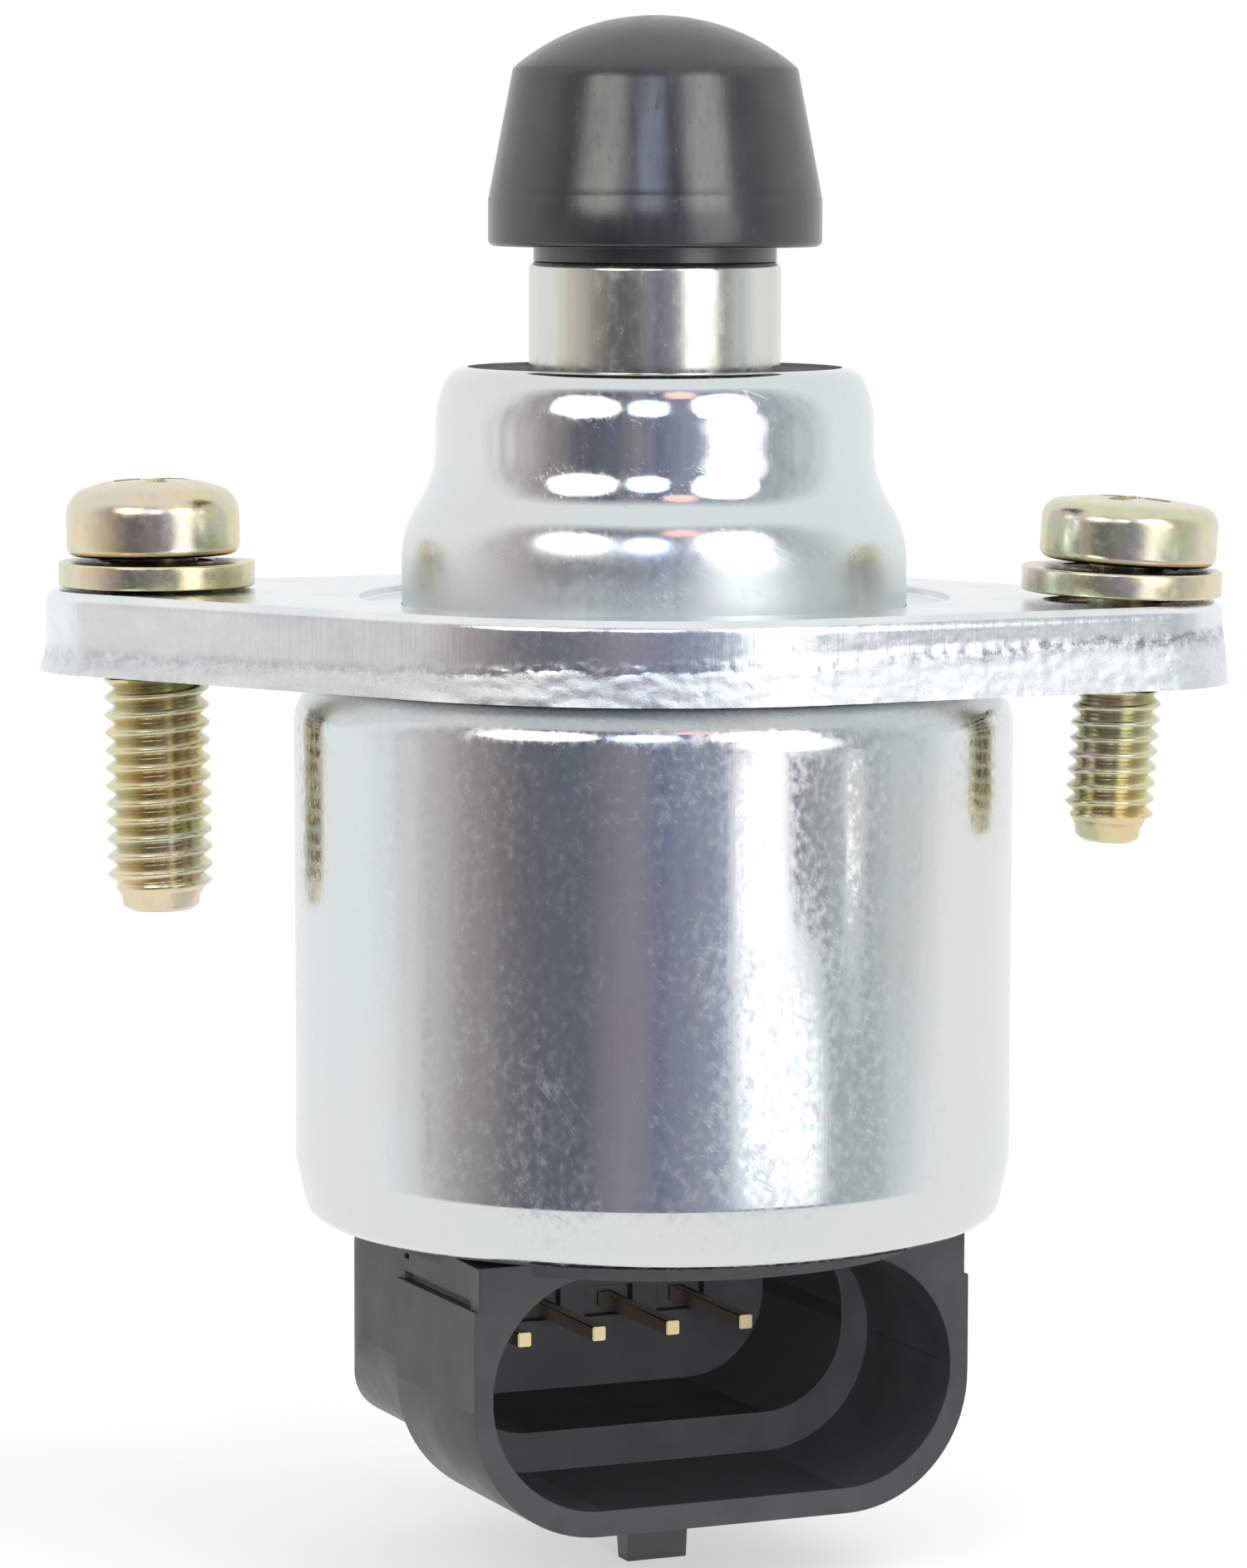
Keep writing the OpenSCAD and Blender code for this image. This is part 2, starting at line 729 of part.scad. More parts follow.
module rounded_box_outline(w, h, r) {
    square([w - 2 * r, h], center = true);
    square([w, h - 2 * r], center = true);
    for (x = [-1, 1])
        for (y = [-1, 1])
            translate([x * (w / 2 - r), y * (h / 2 - r)]) circle(r = r);
}

// The part of the housing that the can closes in: a disc with a rounded lower edge
module housing_disc() {
    rotate_extrude()
        polygon(concat([[0, disc_z], [core_r, disc_z]],
                       arc(core_r - disc_edge_r, disc_foot_z + dish_h + disc_edge_r, disc_edge_r, 0, -90),
                       [[neck_disc_r, disc_foot_z], [neck_disc_r, conn_z - over], [0, conn_z - over]]));
}

module housing_rear() {
    half_w = conn_half_w - step_w;
    intersection() {
        from_front(-rim_y + shroud_d - over, rear_y)
            u_outline(half_w, conn_z, conn_z - rear_h, rear_edge_r);
        translate([0, 0, conn_z - rear_h - over])
            linear_extrude(height = rear_h + 2 * over) {
                translate([-half_w, -rim_y]) square([2 * half_w, rim_y + rear_y - rear_corner_r]);
                translate([-half_w + rear_corner_r, 0]) square([2 * (half_w - rear_corner_r), rear_y]);
                for (side = [-1, 1])
                    translate([side * (half_w - rear_corner_r), rear_y - rear_corner_r]) circle(r = rear_corner_r);
            }
    }
}

module housing_shroud() {
    back_y = -rim_y + shroud_d;
    difference() {
        from_front(-rim_y, back_y) u_outline(conn_half_w, conn_z, shroud_foot_z, shroud_corner_r);
        for (side = [-1, 1]) {
            translate([side * (conn_half_w - step_w + over) - over, -rim_y - over, conn_z - step_h])
                cube([2 * over, shroud_d + 2 * over, step_h + over]);
            translate([side * (conn_half_w - groove_d + over) - over, -rim_y + notch_w, conn_z - step_h])
                cube([2 * over, shroud_d + over, groove_h]);
            translate([side * (conn_half_w - groove_d * 2 + over) - over, back_y - notch_w, conn_z - step_h / 2])
                cube([2 * over, notch_w + over, step_h / 2 + over]);
        }
    }
    rotate([90, 0, 90])
        translate([0, 0, -nub_w / 2])
            linear_extrude(height = nub_w)
                polygon([[nub_y[0], shroud_foot_z + over], [nub_y[0] + nub_slope / 2, shroud_foot_z - nub_h],
                         [nub_y[1] - nub_slope, shroud_foot_z - nub_h], [nub_y[1], shroud_foot_z + over]]);
}

module socket_cut() {
    from_front(-rim_y - over, ledge_y)
        translate([0, socket_z]) rounded_box_outline(socket_w, socket_h, socket_h / 2 - seat);
    from_front(-rim_y, socket_back_y)
        translate([0, inner_socket_z]) rounded_box_outline(inner_socket_w, inner_socket_h, inner_socket_r);
}

module connector_housing() {
    color([0.13, 0.13, 0.14])
    difference() {
        union() {
            housing_disc();
            housing_rear();
            housing_shroud();
        }
        socket_cut();
        for (n = [1 : pins]) {
            terminal(n, seat / 2);
            translate([(n - pin_mid) * pin_pitch - pocket_w / 2, socket_back_y - over, pin_z - pocket_h / 2])
                cube([pocket_w, pocket_d + over, pocket_h]);
        }
        translate([0, 0, rear_bearing_z - bearing_h - wave_room])
            cylinder(h = bearing_h + wave_room + over, r = bearing_r + seat);
        tube(seal_z - seal_wire_r - seat, 2 * (seal_wire_r + seat), core_r + over,
             seal_ring_r - seal_wire_r - seat);
    }
}

pintle_cap();
plunger_sleeve();
lead_screw();
preload_spring();
dust_seal();
guide_bush();
nose_cup();
mounting_flange();
screw_left();
screw_right();
lock_washer_left();
lock_washer_right();
motor_can();
front_bearing_holder();
front_bearing_outer_race();
front_bearing_inner_race();
front_bearing_balls();
rear_bearing_outer_race();
rear_bearing_inner_race();
rear_bearing_balls();
rotor_magnet();
rotor_nut();
stator_cup_front();
stator_plate_front();
bobbin_front();
coil_front();
stator_plate_rear();
stator_cup_rear();
bobbin_rear();
coil_rear();
wave_washer();
rear_seal();
connector_housing();
terminal_1();
terminal_2();
terminal_3();
terminal_4();
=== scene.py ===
"""Looks of the idle air control valve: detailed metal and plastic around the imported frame."""
import json
import math

import bmesh
import bpy
import numpy as np
from mathutils import Matrix, Vector, noise

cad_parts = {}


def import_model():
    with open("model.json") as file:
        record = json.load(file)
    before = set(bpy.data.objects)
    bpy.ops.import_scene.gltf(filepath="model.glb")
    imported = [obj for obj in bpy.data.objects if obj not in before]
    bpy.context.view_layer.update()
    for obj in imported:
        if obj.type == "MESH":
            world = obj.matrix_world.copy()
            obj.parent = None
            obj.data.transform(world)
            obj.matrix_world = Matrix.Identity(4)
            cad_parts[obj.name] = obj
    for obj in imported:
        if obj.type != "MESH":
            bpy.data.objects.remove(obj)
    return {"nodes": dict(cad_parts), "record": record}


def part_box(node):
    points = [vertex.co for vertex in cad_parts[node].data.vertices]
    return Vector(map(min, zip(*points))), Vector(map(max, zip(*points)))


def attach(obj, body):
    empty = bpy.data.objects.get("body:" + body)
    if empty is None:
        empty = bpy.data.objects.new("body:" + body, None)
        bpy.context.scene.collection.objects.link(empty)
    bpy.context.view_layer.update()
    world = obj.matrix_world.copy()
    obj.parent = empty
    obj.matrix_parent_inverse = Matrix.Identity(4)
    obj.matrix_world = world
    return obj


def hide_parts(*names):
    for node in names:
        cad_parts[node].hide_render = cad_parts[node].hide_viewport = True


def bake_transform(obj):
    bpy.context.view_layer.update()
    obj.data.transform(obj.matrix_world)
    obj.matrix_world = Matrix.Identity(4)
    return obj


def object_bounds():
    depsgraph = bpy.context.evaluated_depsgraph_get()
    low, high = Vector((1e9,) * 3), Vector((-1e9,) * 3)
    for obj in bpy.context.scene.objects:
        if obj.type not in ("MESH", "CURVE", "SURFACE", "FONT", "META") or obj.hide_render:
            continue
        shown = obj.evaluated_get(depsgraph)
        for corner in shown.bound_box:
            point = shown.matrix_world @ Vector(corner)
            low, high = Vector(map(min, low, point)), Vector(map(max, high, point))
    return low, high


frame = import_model()
CAD_BOX = [list(corner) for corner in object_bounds()]
MM = 0.001


def extent(node):
    """Lowest and highest corner of a CAD node in millimetres."""
    low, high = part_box(node)
    return low / MM, high / MM


# Driving sizes in millimetres, some read from the frame and the rest given
CAN_LOW, CAN_HIGH = extent("motor_can")
CUP_LOW, CUP_HIGH = extent("nose_cup")
CAP_LOW, CAP_HIGH = extent("pintle_cap")
SLEEVE_LOW, SLEEVE_HIGH = extent("plunger_sleeve")
SEAL_LOW, SEAL_HIGH = extent("dust_seal")
FLANGE_LOW, FLANGE_HIGH = extent("mounting_flange")
SHEET = 0.9
CAN_R = CAN_HIGH.x
CAN_SHOULDER_R = 2.0
CAN_RIM_H = 3.3
CAN_RIM_IN = 0.35
CAN_RIM_R = 1.2
CAN_DISH = 0.45
CAN_MOUTH_R = 12.4
CAN_WAVE = 0.05
CUP_ROOT_R = 11.2
CUP_BARREL_R = 9.72
CUP_CROWN_R = 4.9
CUP_CROWN_TURN = 24
CUP_RIM_R = 1.09
CUP_ROOT_Z = 1.55
CUP_SHOULDER_Z = 6.6
CUP_CROWN_Z = 7.45
SLEEVE_R = 5.58
SLEEVE_WALL = 0.6
SLEEVE_EDGE_R = 0.35
LUG_H = 1.2
LUG_W = 2.2
CAP_R = CAP_HIGH.x
CAP_TOP_R = CAP_R - 1.18
CAP_Z = 15.4
CAP_SKIRT_H = 2.22
CAP_CONE_H = 5.68
CAP_DOME_H = 2.24
CAP_NECK_H = 0.65
CAP_EDGE_R = 0.3
CAP_NECK_R = 5.38
CAP_PLUG_LIFT = 0.12
LEAD_R = 2.03
LEAD_GRIP = 2.83
WIRE_R = 0.35
SPRING_TURNS = 6
FLANGE_T = 3.6
FLANGE_TURN = math.radians(-31)
LOBE_R = 16.6
END_R = 5.3
HOLE_R = 2.75
RING_R = 13.1
RING_DEPTH = 0.4
SEAM_RISE = 0.03
ARM_LEFT = -22.5
ARM_RIGHT = 20.2
HEAD_R = 3.88
HEAD_FOOT_R = 0.45
THREAD_DEPTH = 0.52
NECK_SHARE = 0.84
WASHER_R = 4.4
WASHER_BORE_R = 2.6
WASHER_T = 1.2
WASHER_Z = 0.02
SEGMENTS = 256


# Outlines

def arc(x, y, r, a0, a1, steps=10):
    """Points along an arc, angles in degrees."""
    turns = [math.radians(a0 + (a1 - a0) * i / steps) for i in range(steps + 1)]
    return [(x + r * math.cos(a), y + r * math.sin(a)) for a in turns]


def rounded(corners, steps=5):
    """A closed polygon of (x, y, radius) corners with each corner rounded."""
    points = []
    for i, (x, y, r) in enumerate(corners):
        here = Vector((x, y))
        back = (Vector(corners[i - 1][:2]) - here).normalized()
        ahead = (Vector(corners[(i + 1) % len(corners)][:2]) - here).normalized()
        if r <= 0:
            points.append((x, y))
            continue
        half = back.angle(ahead) / 2
        middle = here + (back + ahead).normalized() * r / math.sin(half)
        start = here + back * r / math.tan(half) - middle
        end = here + ahead * r / math.tan(half) - middle
        swing = start.angle_signed(end)
        a0 = math.atan2(start.y, start.x)
        for k in range(steps + 1):
            a = a0 - swing * k / steps
            points.append((middle.x + r * math.cos(a), middle.y + r * math.sin(a)))
    return points


def refined(points, longest, closed=True):
    """The same outline with extra points, so that no side is longer than given."""
    fine = []
    count = len(points) if closed else len(points) - 1
    for i in range(count):
        a, b = Vector(points[i]), Vector(points[(i + 1) % len(points)])
        pieces = max(1, math.ceil((b - a).length / longest))
        fine += [tuple(a.lerp(b, k / pieces)) for k in range(pieces)]
    if not closed:
        fine.append(points[-1])
    return fine


# Meshes

def new_object(name, mesh, sharp=35):
    mesh.shade_smooth()
    mesh.set_sharp_from_angle(angle=math.radians(sharp))
    made = bpy.data.objects.new(name, mesh)
    bpy.context.scene.collection.objects.link(made)
    return made


def from_bmesh(name, bm, sharp=35):
    bmesh.ops.recalc_face_normals(bm, faces=bm.faces)
    mesh = bpy.data.meshes.new(name)
    bm.to_mesh(mesh)
    bm.free()
    return new_object(name, mesh, sharp)


def lathe(bm, profile, segments=SEGMENTS, shape=None):
    """Turns a closed (r, z) profile in millimetres round the axis. shape(r, z, angle) may move a point."""
    rings = []
    for k in range(segments):
        angle = 2 * math.pi * k / segments
        ring = []
        for r, z in profile:
            if shape:
                r, z = shape(r, z, angle)
            ring.append(bm.verts.new((r * MM * math.cos(angle), r * MM * math.sin(angle), z * MM)))
        rings.append(ring)
    count = len(profile)
    for k in range(segments):
        here, there = rings[k], rings[(k + 1) % segments]
        for i in range(count):
            j = (i + 1) % count
            bm.faces.new((here[i], there[i], there[j], here[j]))
    bmesh.ops.remove_doubles(bm, verts=bm.verts, dist=1e-7)
    flat = [f for f in bm.faces if f.calc_area() < 1e-14]
    bmesh.ops.delete(bm, geom=flat, context="FACES_ONLY")
    return bm


def turned(name, profile, segments=SEGMENTS, shape=None, sharp=35):
    return from_bmesh(name, lathe(bmesh.new(), profile, segments, shape), sharp)


def cut(body, tool):
    """Cuts tool out of body and deletes tool."""
    step = body.modifiers.new("cut", "BOOLEAN")
    step.operation = "DIFFERENCE"
    step.solver = "EXACT"
    step.object = tool
    apply_modifiers(body)
    bpy.data.objects.remove(tool)


def apply_modifiers(body):
    graph = bpy.context.evaluated_depsgraph_get()
    mesh = bpy.data.meshes.new_from_object(body.evaluated_get(graph))
    body.modifiers.clear()
    body.data = mesh
    mesh.shade_smooth()
    mesh.set_sharp_from_angle(angle=math.radians(35))


def at_arm(body, arm, tilt=0.0, lift=0.0, spin=0.0, out=0.0):
    """Places a piece, drawn on the axis, at one arm of the flange, leaning and shifted outward along it."""
    place = Matrix.Rotation(FLANGE_TURN, 4, "Z") @ Matrix.Translation(((arm + out) * MM, 0, lift * MM))
    lean = Matrix.Rotation(math.radians(tilt), 4, "Y") @ Matrix.Rotation(math.radians(spin), 4, "Z")
    body.data.transform(place @ lean)
    body.data.update()


# Pieces

def pintle_cap():
    cone_z = CAP_Z + CAP_SKIRT_H
    dome_z = cone_z + CAP_CONE_H
    sphere_r = (CAP_TOP_R ** 2 + CAP_DOME_H ** 2) / (2 * CAP_DOME_H)
    half = math.degrees(math.asin(CAP_TOP_R / sphere_r))
    plug_r = SLEEVE_R - SLEEVE_WALL - 0.03
    plug_z = CAP_LOW.z + CAP_PLUG_LIFT
    crease = 0.05
    outline = [(LEAD_R, plug_z), (plug_r, plug_z), (plug_r, CAP_Z - CAP_NECK_H), (CAP_NECK_R, CAP_Z - CAP_NECK_H),
               (CAP_NECK_R, CAP_Z)]
    outline += arc(CAP_R - CAP_EDGE_R, CAP_Z + CAP_EDGE_R, CAP_EDGE_R, -90, 0, 6)
    outline += [(CAP_R, cone_z - 0.12), (CAP_R - crease, cone_z), (CAP_R - crease, cone_z + 0.1)]
    outline += refined([(CAP_R - crease, cone_z + 0.1), (CAP_TOP_R + 0.1, dome_z - 0.15)], 0.5, False)[1:]
    outline += [(CAP_TOP_R + 0.03, dome_z - 0.04), (CAP_TOP_R - 0.06, dome_z + 0.03)]
    outline += arc(0, dome_z + CAP_DOME_H - sphere_r, sphere_r, 90 - half + 1, 90, 24)
    outline += [(0, CAP_Z + LEAD_GRIP), (LEAD_R, CAP_Z + LEAD_GRIP)]
    made = turned("pintle_cap_moulded", outline, sharp=60)
    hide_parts("pintle_cap")
    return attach(made, "pintle")


def plunger_sleeve():
    bore = SLEEVE_R - SLEEVE_WALL
    outline = rounded([(bore, SLEEVE_LOW.z, 0.1), (SLEEVE_R, SLEEVE_LOW.z, 0.1),
                       (SLEEVE_R, SLEEVE_HIGH.z, SLEEVE_EDGE_R), (bore, SLEEVE_HIGH.z, 0.1)], 8)
    bm = lathe(bmesh.new(), refined(outline, 1.0))
    reach = SLEEVE_HIGH.x - SLEEVE_R + SLEEVE_WALL / 2
    for side in (-1, 1):
        box = Matrix.Translation((side * (SLEEVE_HIGH.x - reach / 2) * MM, 0, (SLEEVE_LOW.z + LUG_H / 2) * MM))
        scale = Matrix.Diagonal((reach * MM, LUG_W * MM, LUG_H * MM, 1))
        bmesh.ops.create_cube(bm, size=1, matrix=box @ scale)
    made = from_bmesh("plunger_sleeve_drawn", bm)
    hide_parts("plunger_sleeve")
    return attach(made, "pintle")


def cup_side(inset):
    """The nose's side from its root over the crowned barrel to its rim, inset by the given amount."""
    swing = 2 * math.degrees(math.atan((CUP_ROOT_R - CUP_BARREL_R) / (CUP_SHOULDER_Z - CUP_ROOT_Z)))
    bend = (CUP_SHOULDER_Z - CUP_ROOT_Z) / 2 / math.sin(math.radians(swing))
    side = arc(CUP_ROOT_R - bend, CUP_ROOT_Z, bend - inset, 0, swing, 14)
    side += arc(CUP_BARREL_R + bend, CUP_SHOULDER_Z, bend + inset, 180 + swing, 180, 14)
    side += arc(CUP_BARREL_R - CUP_CROWN_R, CUP_CROWN_Z, CUP_CROWN_R - inset, 0, CUP_CROWN_TURN, 14)
    turn = math.radians(CUP_CROWN_TURN)
    rim_x = CUP_BARREL_R - CUP_CROWN_R + (CUP_CROWN_R - CUP_RIM_R) * math.cos(turn)
    rim_z = CUP_CROWN_Z + (CUP_CROWN_R - CUP_RIM_R) * math.sin(turn)
    return side + arc(rim_x, rim_z, CUP_RIM_R - inset, CUP_CROWN_TURN, 90, 12)[1:]


def nose_cup():
    foot = CUP_LOW.z
    brim = CUP_HIGH.x
    outline = [(brim, foot), (brim, foot + SHEET), (CUP_ROOT_R, foot + SHEET)] + cup_side(0)
    outline += list(reversed(cup_side(SHEET))) + [(CUP_ROOT_R - SHEET, foot)]

    def drawn(r, z, angle):
        wave = noise.noise(Vector((math.cos(angle) * 1.3, math.sin(angle) * 1.3, z * 0.16)))
        return r + 0.02 * wave * (z > 0), z

    made = turned("nose_cup_drawn", refined(outline, 0.6), shape=drawn)
    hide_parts("nose_cup")
    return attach(made, "root")


def motor_can():
    top, foot = CAN_HIGH.z, CAN_LOW.z
    hole = CUP_ROOT_R + 0.03
    rim_r = CAN_R - CAN_RIM_IN - CAN_RIM_R
    rim_z = foot + CAN_DISH + CAN_RIM_R
    outline = [(hole, top - SHEET), (hole, top)]
    outline += arc(CAN_R - CAN_SHOULDER_R, top - CAN_SHOULDER_R, CAN_SHOULDER_R, 90, 0, 16)
    outline += arc(CAN_R - 1.5, foot + CAN_RIM_H, 1.5, 0, -7, 3)
    outline += arc(rim_r, rim_z, CAN_RIM_R, -7, -84, 12)
    outline += [(CAN_MOUTH_R, foot), (CAN_MOUTH_R, foot + SHEET)]
    outline += arc(rim_r, rim_z, CAN_RIM_R - SHEET, -84, -7, 4)
    outline += [(CAN_R - SHEET, foot + CAN_RIM_H)]
    outline += arc(CAN_R - CAN_SHOULDER_R, top - CAN_SHOULDER_R, CAN_SHOULDER_R - SHEET, 0, 90, 6)

    def drawn(r, z, angle):
        wave = noise.noise(Vector((math.cos(angle) * 1.9, math.sin(angle) * 1.9, z * 0.09)))
        return r + CAN_WAVE * min(0.0, wave - 0.6) * (r > CAN_R - 0.5), z

    made = turned("motor_can_drawn", refined(outline, 0.9), shape=drawn)
    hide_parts("motor_can")
    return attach(made, "root")


def flange_outline():
    """The plate's outline on its own long axis: two ends and the middle lobe, as arcs."""
    lean_l = math.degrees(math.asin((LOBE_R - END_R) / -ARM_LEFT))
    lean_r = math.degrees(math.asin((LOBE_R - END_R) / ARM_RIGHT))
    points = arc(ARM_RIGHT, 0, END_R, lean_r - 90, 90 - lean_r, 40)
    points += arc(0, 0, LOBE_R, 90 - lean_r, 90 + lean_l, 60)
    points += arc(ARM_LEFT, 0, END_R, 90 + lean_l, 270 - lean_l, 40)
    points += arc(0, 0, LOBE_R, 270 - lean_l, 270 + lean_r, 60)
    return points


def sheared_wall(s, x, depth):
    """How far the sheared edge lies inside the outline, at a depth under the upper face, with s along the edge."""
    wander = noise.noise(Vector((s * 0.16, 3.1, 0.4))) + 0.5 * noise.noise(Vector((s * 0.6, 7.7, 0.2)))
    ragged = 0.25 * noise.noise(Vector((s * 2.3, 1.7, 0.9)))
    line = 1.7 - SEAM_RISE * x + 0.2 * wander + 0.2 * ragged
    roll = 0.34 * max(0.0, 1 - depth / 0.5) ** 2
    torn = min(1.0, max(0.0, (depth - line) / max(0.4, FLANGE_T - line)))
    grain_step = 0.05 * noise.noise(Vector((s * 1.6, depth * 2.6, 5.0)))
    pits = 0.03 * noise.noise(Vector((s * 4.4, depth * 4.6, 2.0)))
    rough = (grain_step + pits) * min(1.0, torn * 5 + 0.1)
    return roll + 0.05 + 0.3 * (1 - torn) + rough


def mounting_flange():
    outline = refined(flange_outline(), 0.16)
    count = len(outline)
    rows = [0.0, 0.05, 0.12, 0.22, 0.35, 0.5] + [0.5 + (FLANGE_T - 0.6) * (k + 1) / 22 for k in range(22)] + [FLANGE_T]
    bore = CUP_ROOT_R + 0.03
    bm = bmesh.new()
    loops = []
    length = 0.0
    along = []
    for i, point in enumerate(outline):
        along.append(length)
        length += (Vector(outline[(i + 1) % count]) - Vector(point)).length
    normals = []
    for i in range(count):
        tangent = (Vector(outline[(i + 1) % count]) - Vector(outline[i - 1])).normalized()
        normals.append(Vector((tangent.y, -tangent.x)))
    total = length

    def edge_s(i):
        """A closed walk in noise space, so that the edge has no seam."""
        turn = 2 * math.pi * along[i] / total
        return total / (2 * math.pi) * math.sin(turn) + 0.37 * total / (2 * math.pi) * math.cos(turn)

    def ring(points, depth):
        return [bm.verts.new((x * MM, y * MM, -depth * MM)) for x, y in points]

    def circle(r):
        places = [math.atan2(y, x) for x, y in outline]
        return [(r * math.cos(a), r * math.sin(a)) for a in places]

    def between(r, share, inset):
        inner, pts = circle(r), []
        for i, (x, y) in enumerate(outline):
            ox, oy = x - normals[i].x * inset, y - normals[i].y * inset
            pts.append((inner[i][0] + (ox - inner[i][0]) * share, inner[i][1] + (oy - inner[i][1]) * share))
        return pts

    loops.append(ring(circle(bore), RING_DEPTH))
    loops.append(ring(circle(RING_R - 0.08), RING_DEPTH))
    loops.append(ring(circle(RING_R), RING_DEPTH - 0.06))
    loops.append(ring(circle(RING_R + 0.02), 0.08))
    loops.append(ring(circle(RING_R + 0.12), 0.0))
    for share in (0.35, 0.7):
        loops.append(ring(between(RING_R + 0.12, share, 0.85), 0.0))
    loops.append(ring(between(RING_R + 0.12, 1.0, 0.85), 0.0))
    for depth in rows:
        pts = []
        for i, (x, y) in enumerate(outline):
            inset = max(0.0, sheared_wall(edge_s(i), x, depth))
            pts.append((x - normals[i].x * inset, y - normals[i].y * inset))
        loops.append(ring(pts, depth))
    for share in (0.7, 0.35):
        loops.append(ring(between(bore, share, 0.4), FLANGE_T))
    loops.append(ring(circle(bore), FLANGE_T))
    for k in range(len(loops)):
        here, there = loops[k], loops[(k + 1) % len(loops)]
        for i in range(count):
            j = (i + 1) % count
            bm.faces.new((here[i], here[j], there[j], there[i]))
    made = from_bmesh("mounting_flange_sheared", bm)
    for arm in (ARM_LEFT, ARM_RIGHT):
        lip = 0.25
        profile = [(0, -FLANGE_T - 1), (HOLE_R + lip, -FLANGE_T - 1), (HOLE_R + lip, -FLANGE_T), (HOLE_R, -FLANGE_T + lip),
                   (HOLE_R, -lip), (HOLE_R + lip, 0), (HOLE_R + lip, 1), (0, 1)]
        tool = turned("hole_tool", profile, 64)
        tool.data.transform(Matrix.Translation((arm * MM, 0, 0)))
        cut(made, tool)
    made.data.transform(Matrix.Rotation(FLANGE_TURN, 4, "Z"))
    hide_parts("mounting_flange")
    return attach(made, "root")


def thread(bm, r_out, pitch, z_top, z_foot, turn_steps=64):
    """A right-hand V thread as a sheared grid whose rows follow the helix."""
    depth = THREAD_DEPTH * pitch
    shape = [(0.0, 0.0), (0.09, 0.07), (0.27, 0.5), (0.43, 0.92), (0.5, 1.0), (0.57, 0.92), (0.73, 0.5), (0.91, 0.07)]
    rows_per_turn = len(shape)
    turns = math.ceil((z_top - z_foot) / pitch) + 1
    rows = []
    for k in range((turns + 1) * rows_per_turn):
        share, drop = shape[k % rows_per_turn]
        row = []
        for a in range(turn_steps):
            angle = 2 * math.pi * a / turn_steps
            z = z_top + pitch - (k // rows_per_turn + share - a / turn_steps) * pitch
            run_out = min(1.0, max(0.0, (z - z_foot) / (0.5 * pitch)))
            run_in = min(1.0, max(0.0, (z_top - z) / (0.4 * pitch)))
            r = r_out - depth * (1 - (1 - drop) * run_out * run_in)
            z = min(z_top, max(z_foot, z))
            row.append(bm.verts.new((r * MM * math.cos(angle), r * MM * math.sin(angle), z * MM)))
        rows.append(row)
    for k in range(len(rows) - 1):
        for a in range(turn_steps):
            b = a + 1
            if b < turn_steps:
                quad = (rows[k][a], rows[k][b], rows[k + 1][b], rows[k + 1][a])
            elif k + rows_per_turn + 1 < len(rows):
                low, lower = rows[k + rows_per_turn], rows[k + rows_per_turn + 1]
                continue_up = (rows[k + rows_per_turn + 1][a], rows[k + rows_per_turn][a])
                quad = (continue_up[1], rows[k][0], rows[k + 1][0], continue_up[0])
            else:
                continue
            bm.faces.new(quad)
    return depth


def screw(name, node, arm, r_out, pitch, foot, head_z, edge_r, crown, spin=0.0, tilt=0.0, out=0.0):
    """A pan head with a cross recess, a plain neck and a threaded shank."""
    low = foot
    tip_h = 0.9
    bm = bmesh.new()
    core = r_out - THREAD_DEPTH * pitch
    neck = r_out * NECK_SHARE
    tip_r = r_out * 0.76
    top = extent(node)[1].z
    shank = [(0, low), (tip_r - 0.4, low), (tip_r - 0.1, low + 0.2), (tip_r, low + tip_h - 0.2),
             (core, low + tip_h), (core, -FLANGE_T), (neck - 0.1, -FLANGE_T), (neck, -FLANGE_T + 0.15), (neck, head_z)]
    shank += arc(HEAD_R - HEAD_FOOT_R, head_z + HEAD_FOOT_R, HEAD_FOOT_R, -90, 0, 6)
    shank += arc(HEAD_R - edge_r, top - edge_r - crown, edge_r, 0, 72, 10)
    shank += [(2.2, top - crown * 0.45), (1.6, top - crown * 0.15), (1.0, top), (0, top)]
    lathe(bm, refined(shank, 0.7), 128)
    made = from_bmesh(name, bm)
    for turn in (0, 90):
        tool_bm = bmesh.new()
        bmesh.ops.create_cube(tool_bm, size=1)
        for v in tool_bm.verts:
            taper = 1.0 if v.co.z > 0 else 0.35
            v.co = Vector((v.co.x * 4.5 * taper * MM, v.co.y * 1.0 * (0.7 + 0.3 * taper) * MM, v.co.z * 2.0 * MM))
        bmesh.ops.bevel(tool_bm, geom=list(tool_bm.edges), offset=0.12 * MM, segments=3, affect="EDGES")
        tool = from_bmesh("recess_tool", tool_bm)
        tool.data.transform(Matrix.Translation((0, 0, (top - 0.45) * MM)) @ Matrix.Rotation(math.radians(turn), 4, "Z"))
        cut(made, tool)
    helix = bmesh.new()
    thread(helix, r_out, pitch, -FLANGE_T - 0.05, low + tip_h)
    bmesh.ops.remove_doubles(helix, verts=helix.verts, dist=1e-7)
    flat = [f for f in helix.faces if f.calc_area() < 1e-14]
    bmesh.ops.delete(helix, geom=flat, context="FACES_ONLY")
    helix_mesh = bpy.data.meshes.new(name + "_helix")
    bmesh.ops.recalc_face_normals(helix, faces=helix.faces)
    helix.to_mesh(helix_mesh)
    helix.free()
    joined = bmesh.new()
    joined.from_mesh(made.data)
    joined.from_mesh(helix_mesh)
    joined.to_mesh(made.data)
    joined.free()
    made.data.shade_smooth()
    made.data.set_sharp_from_angle(angle=math.radians(55))
    at_arm(made, arm, tilt=tilt, spin=spin, out=out)
    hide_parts(node)
    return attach(made, "root")


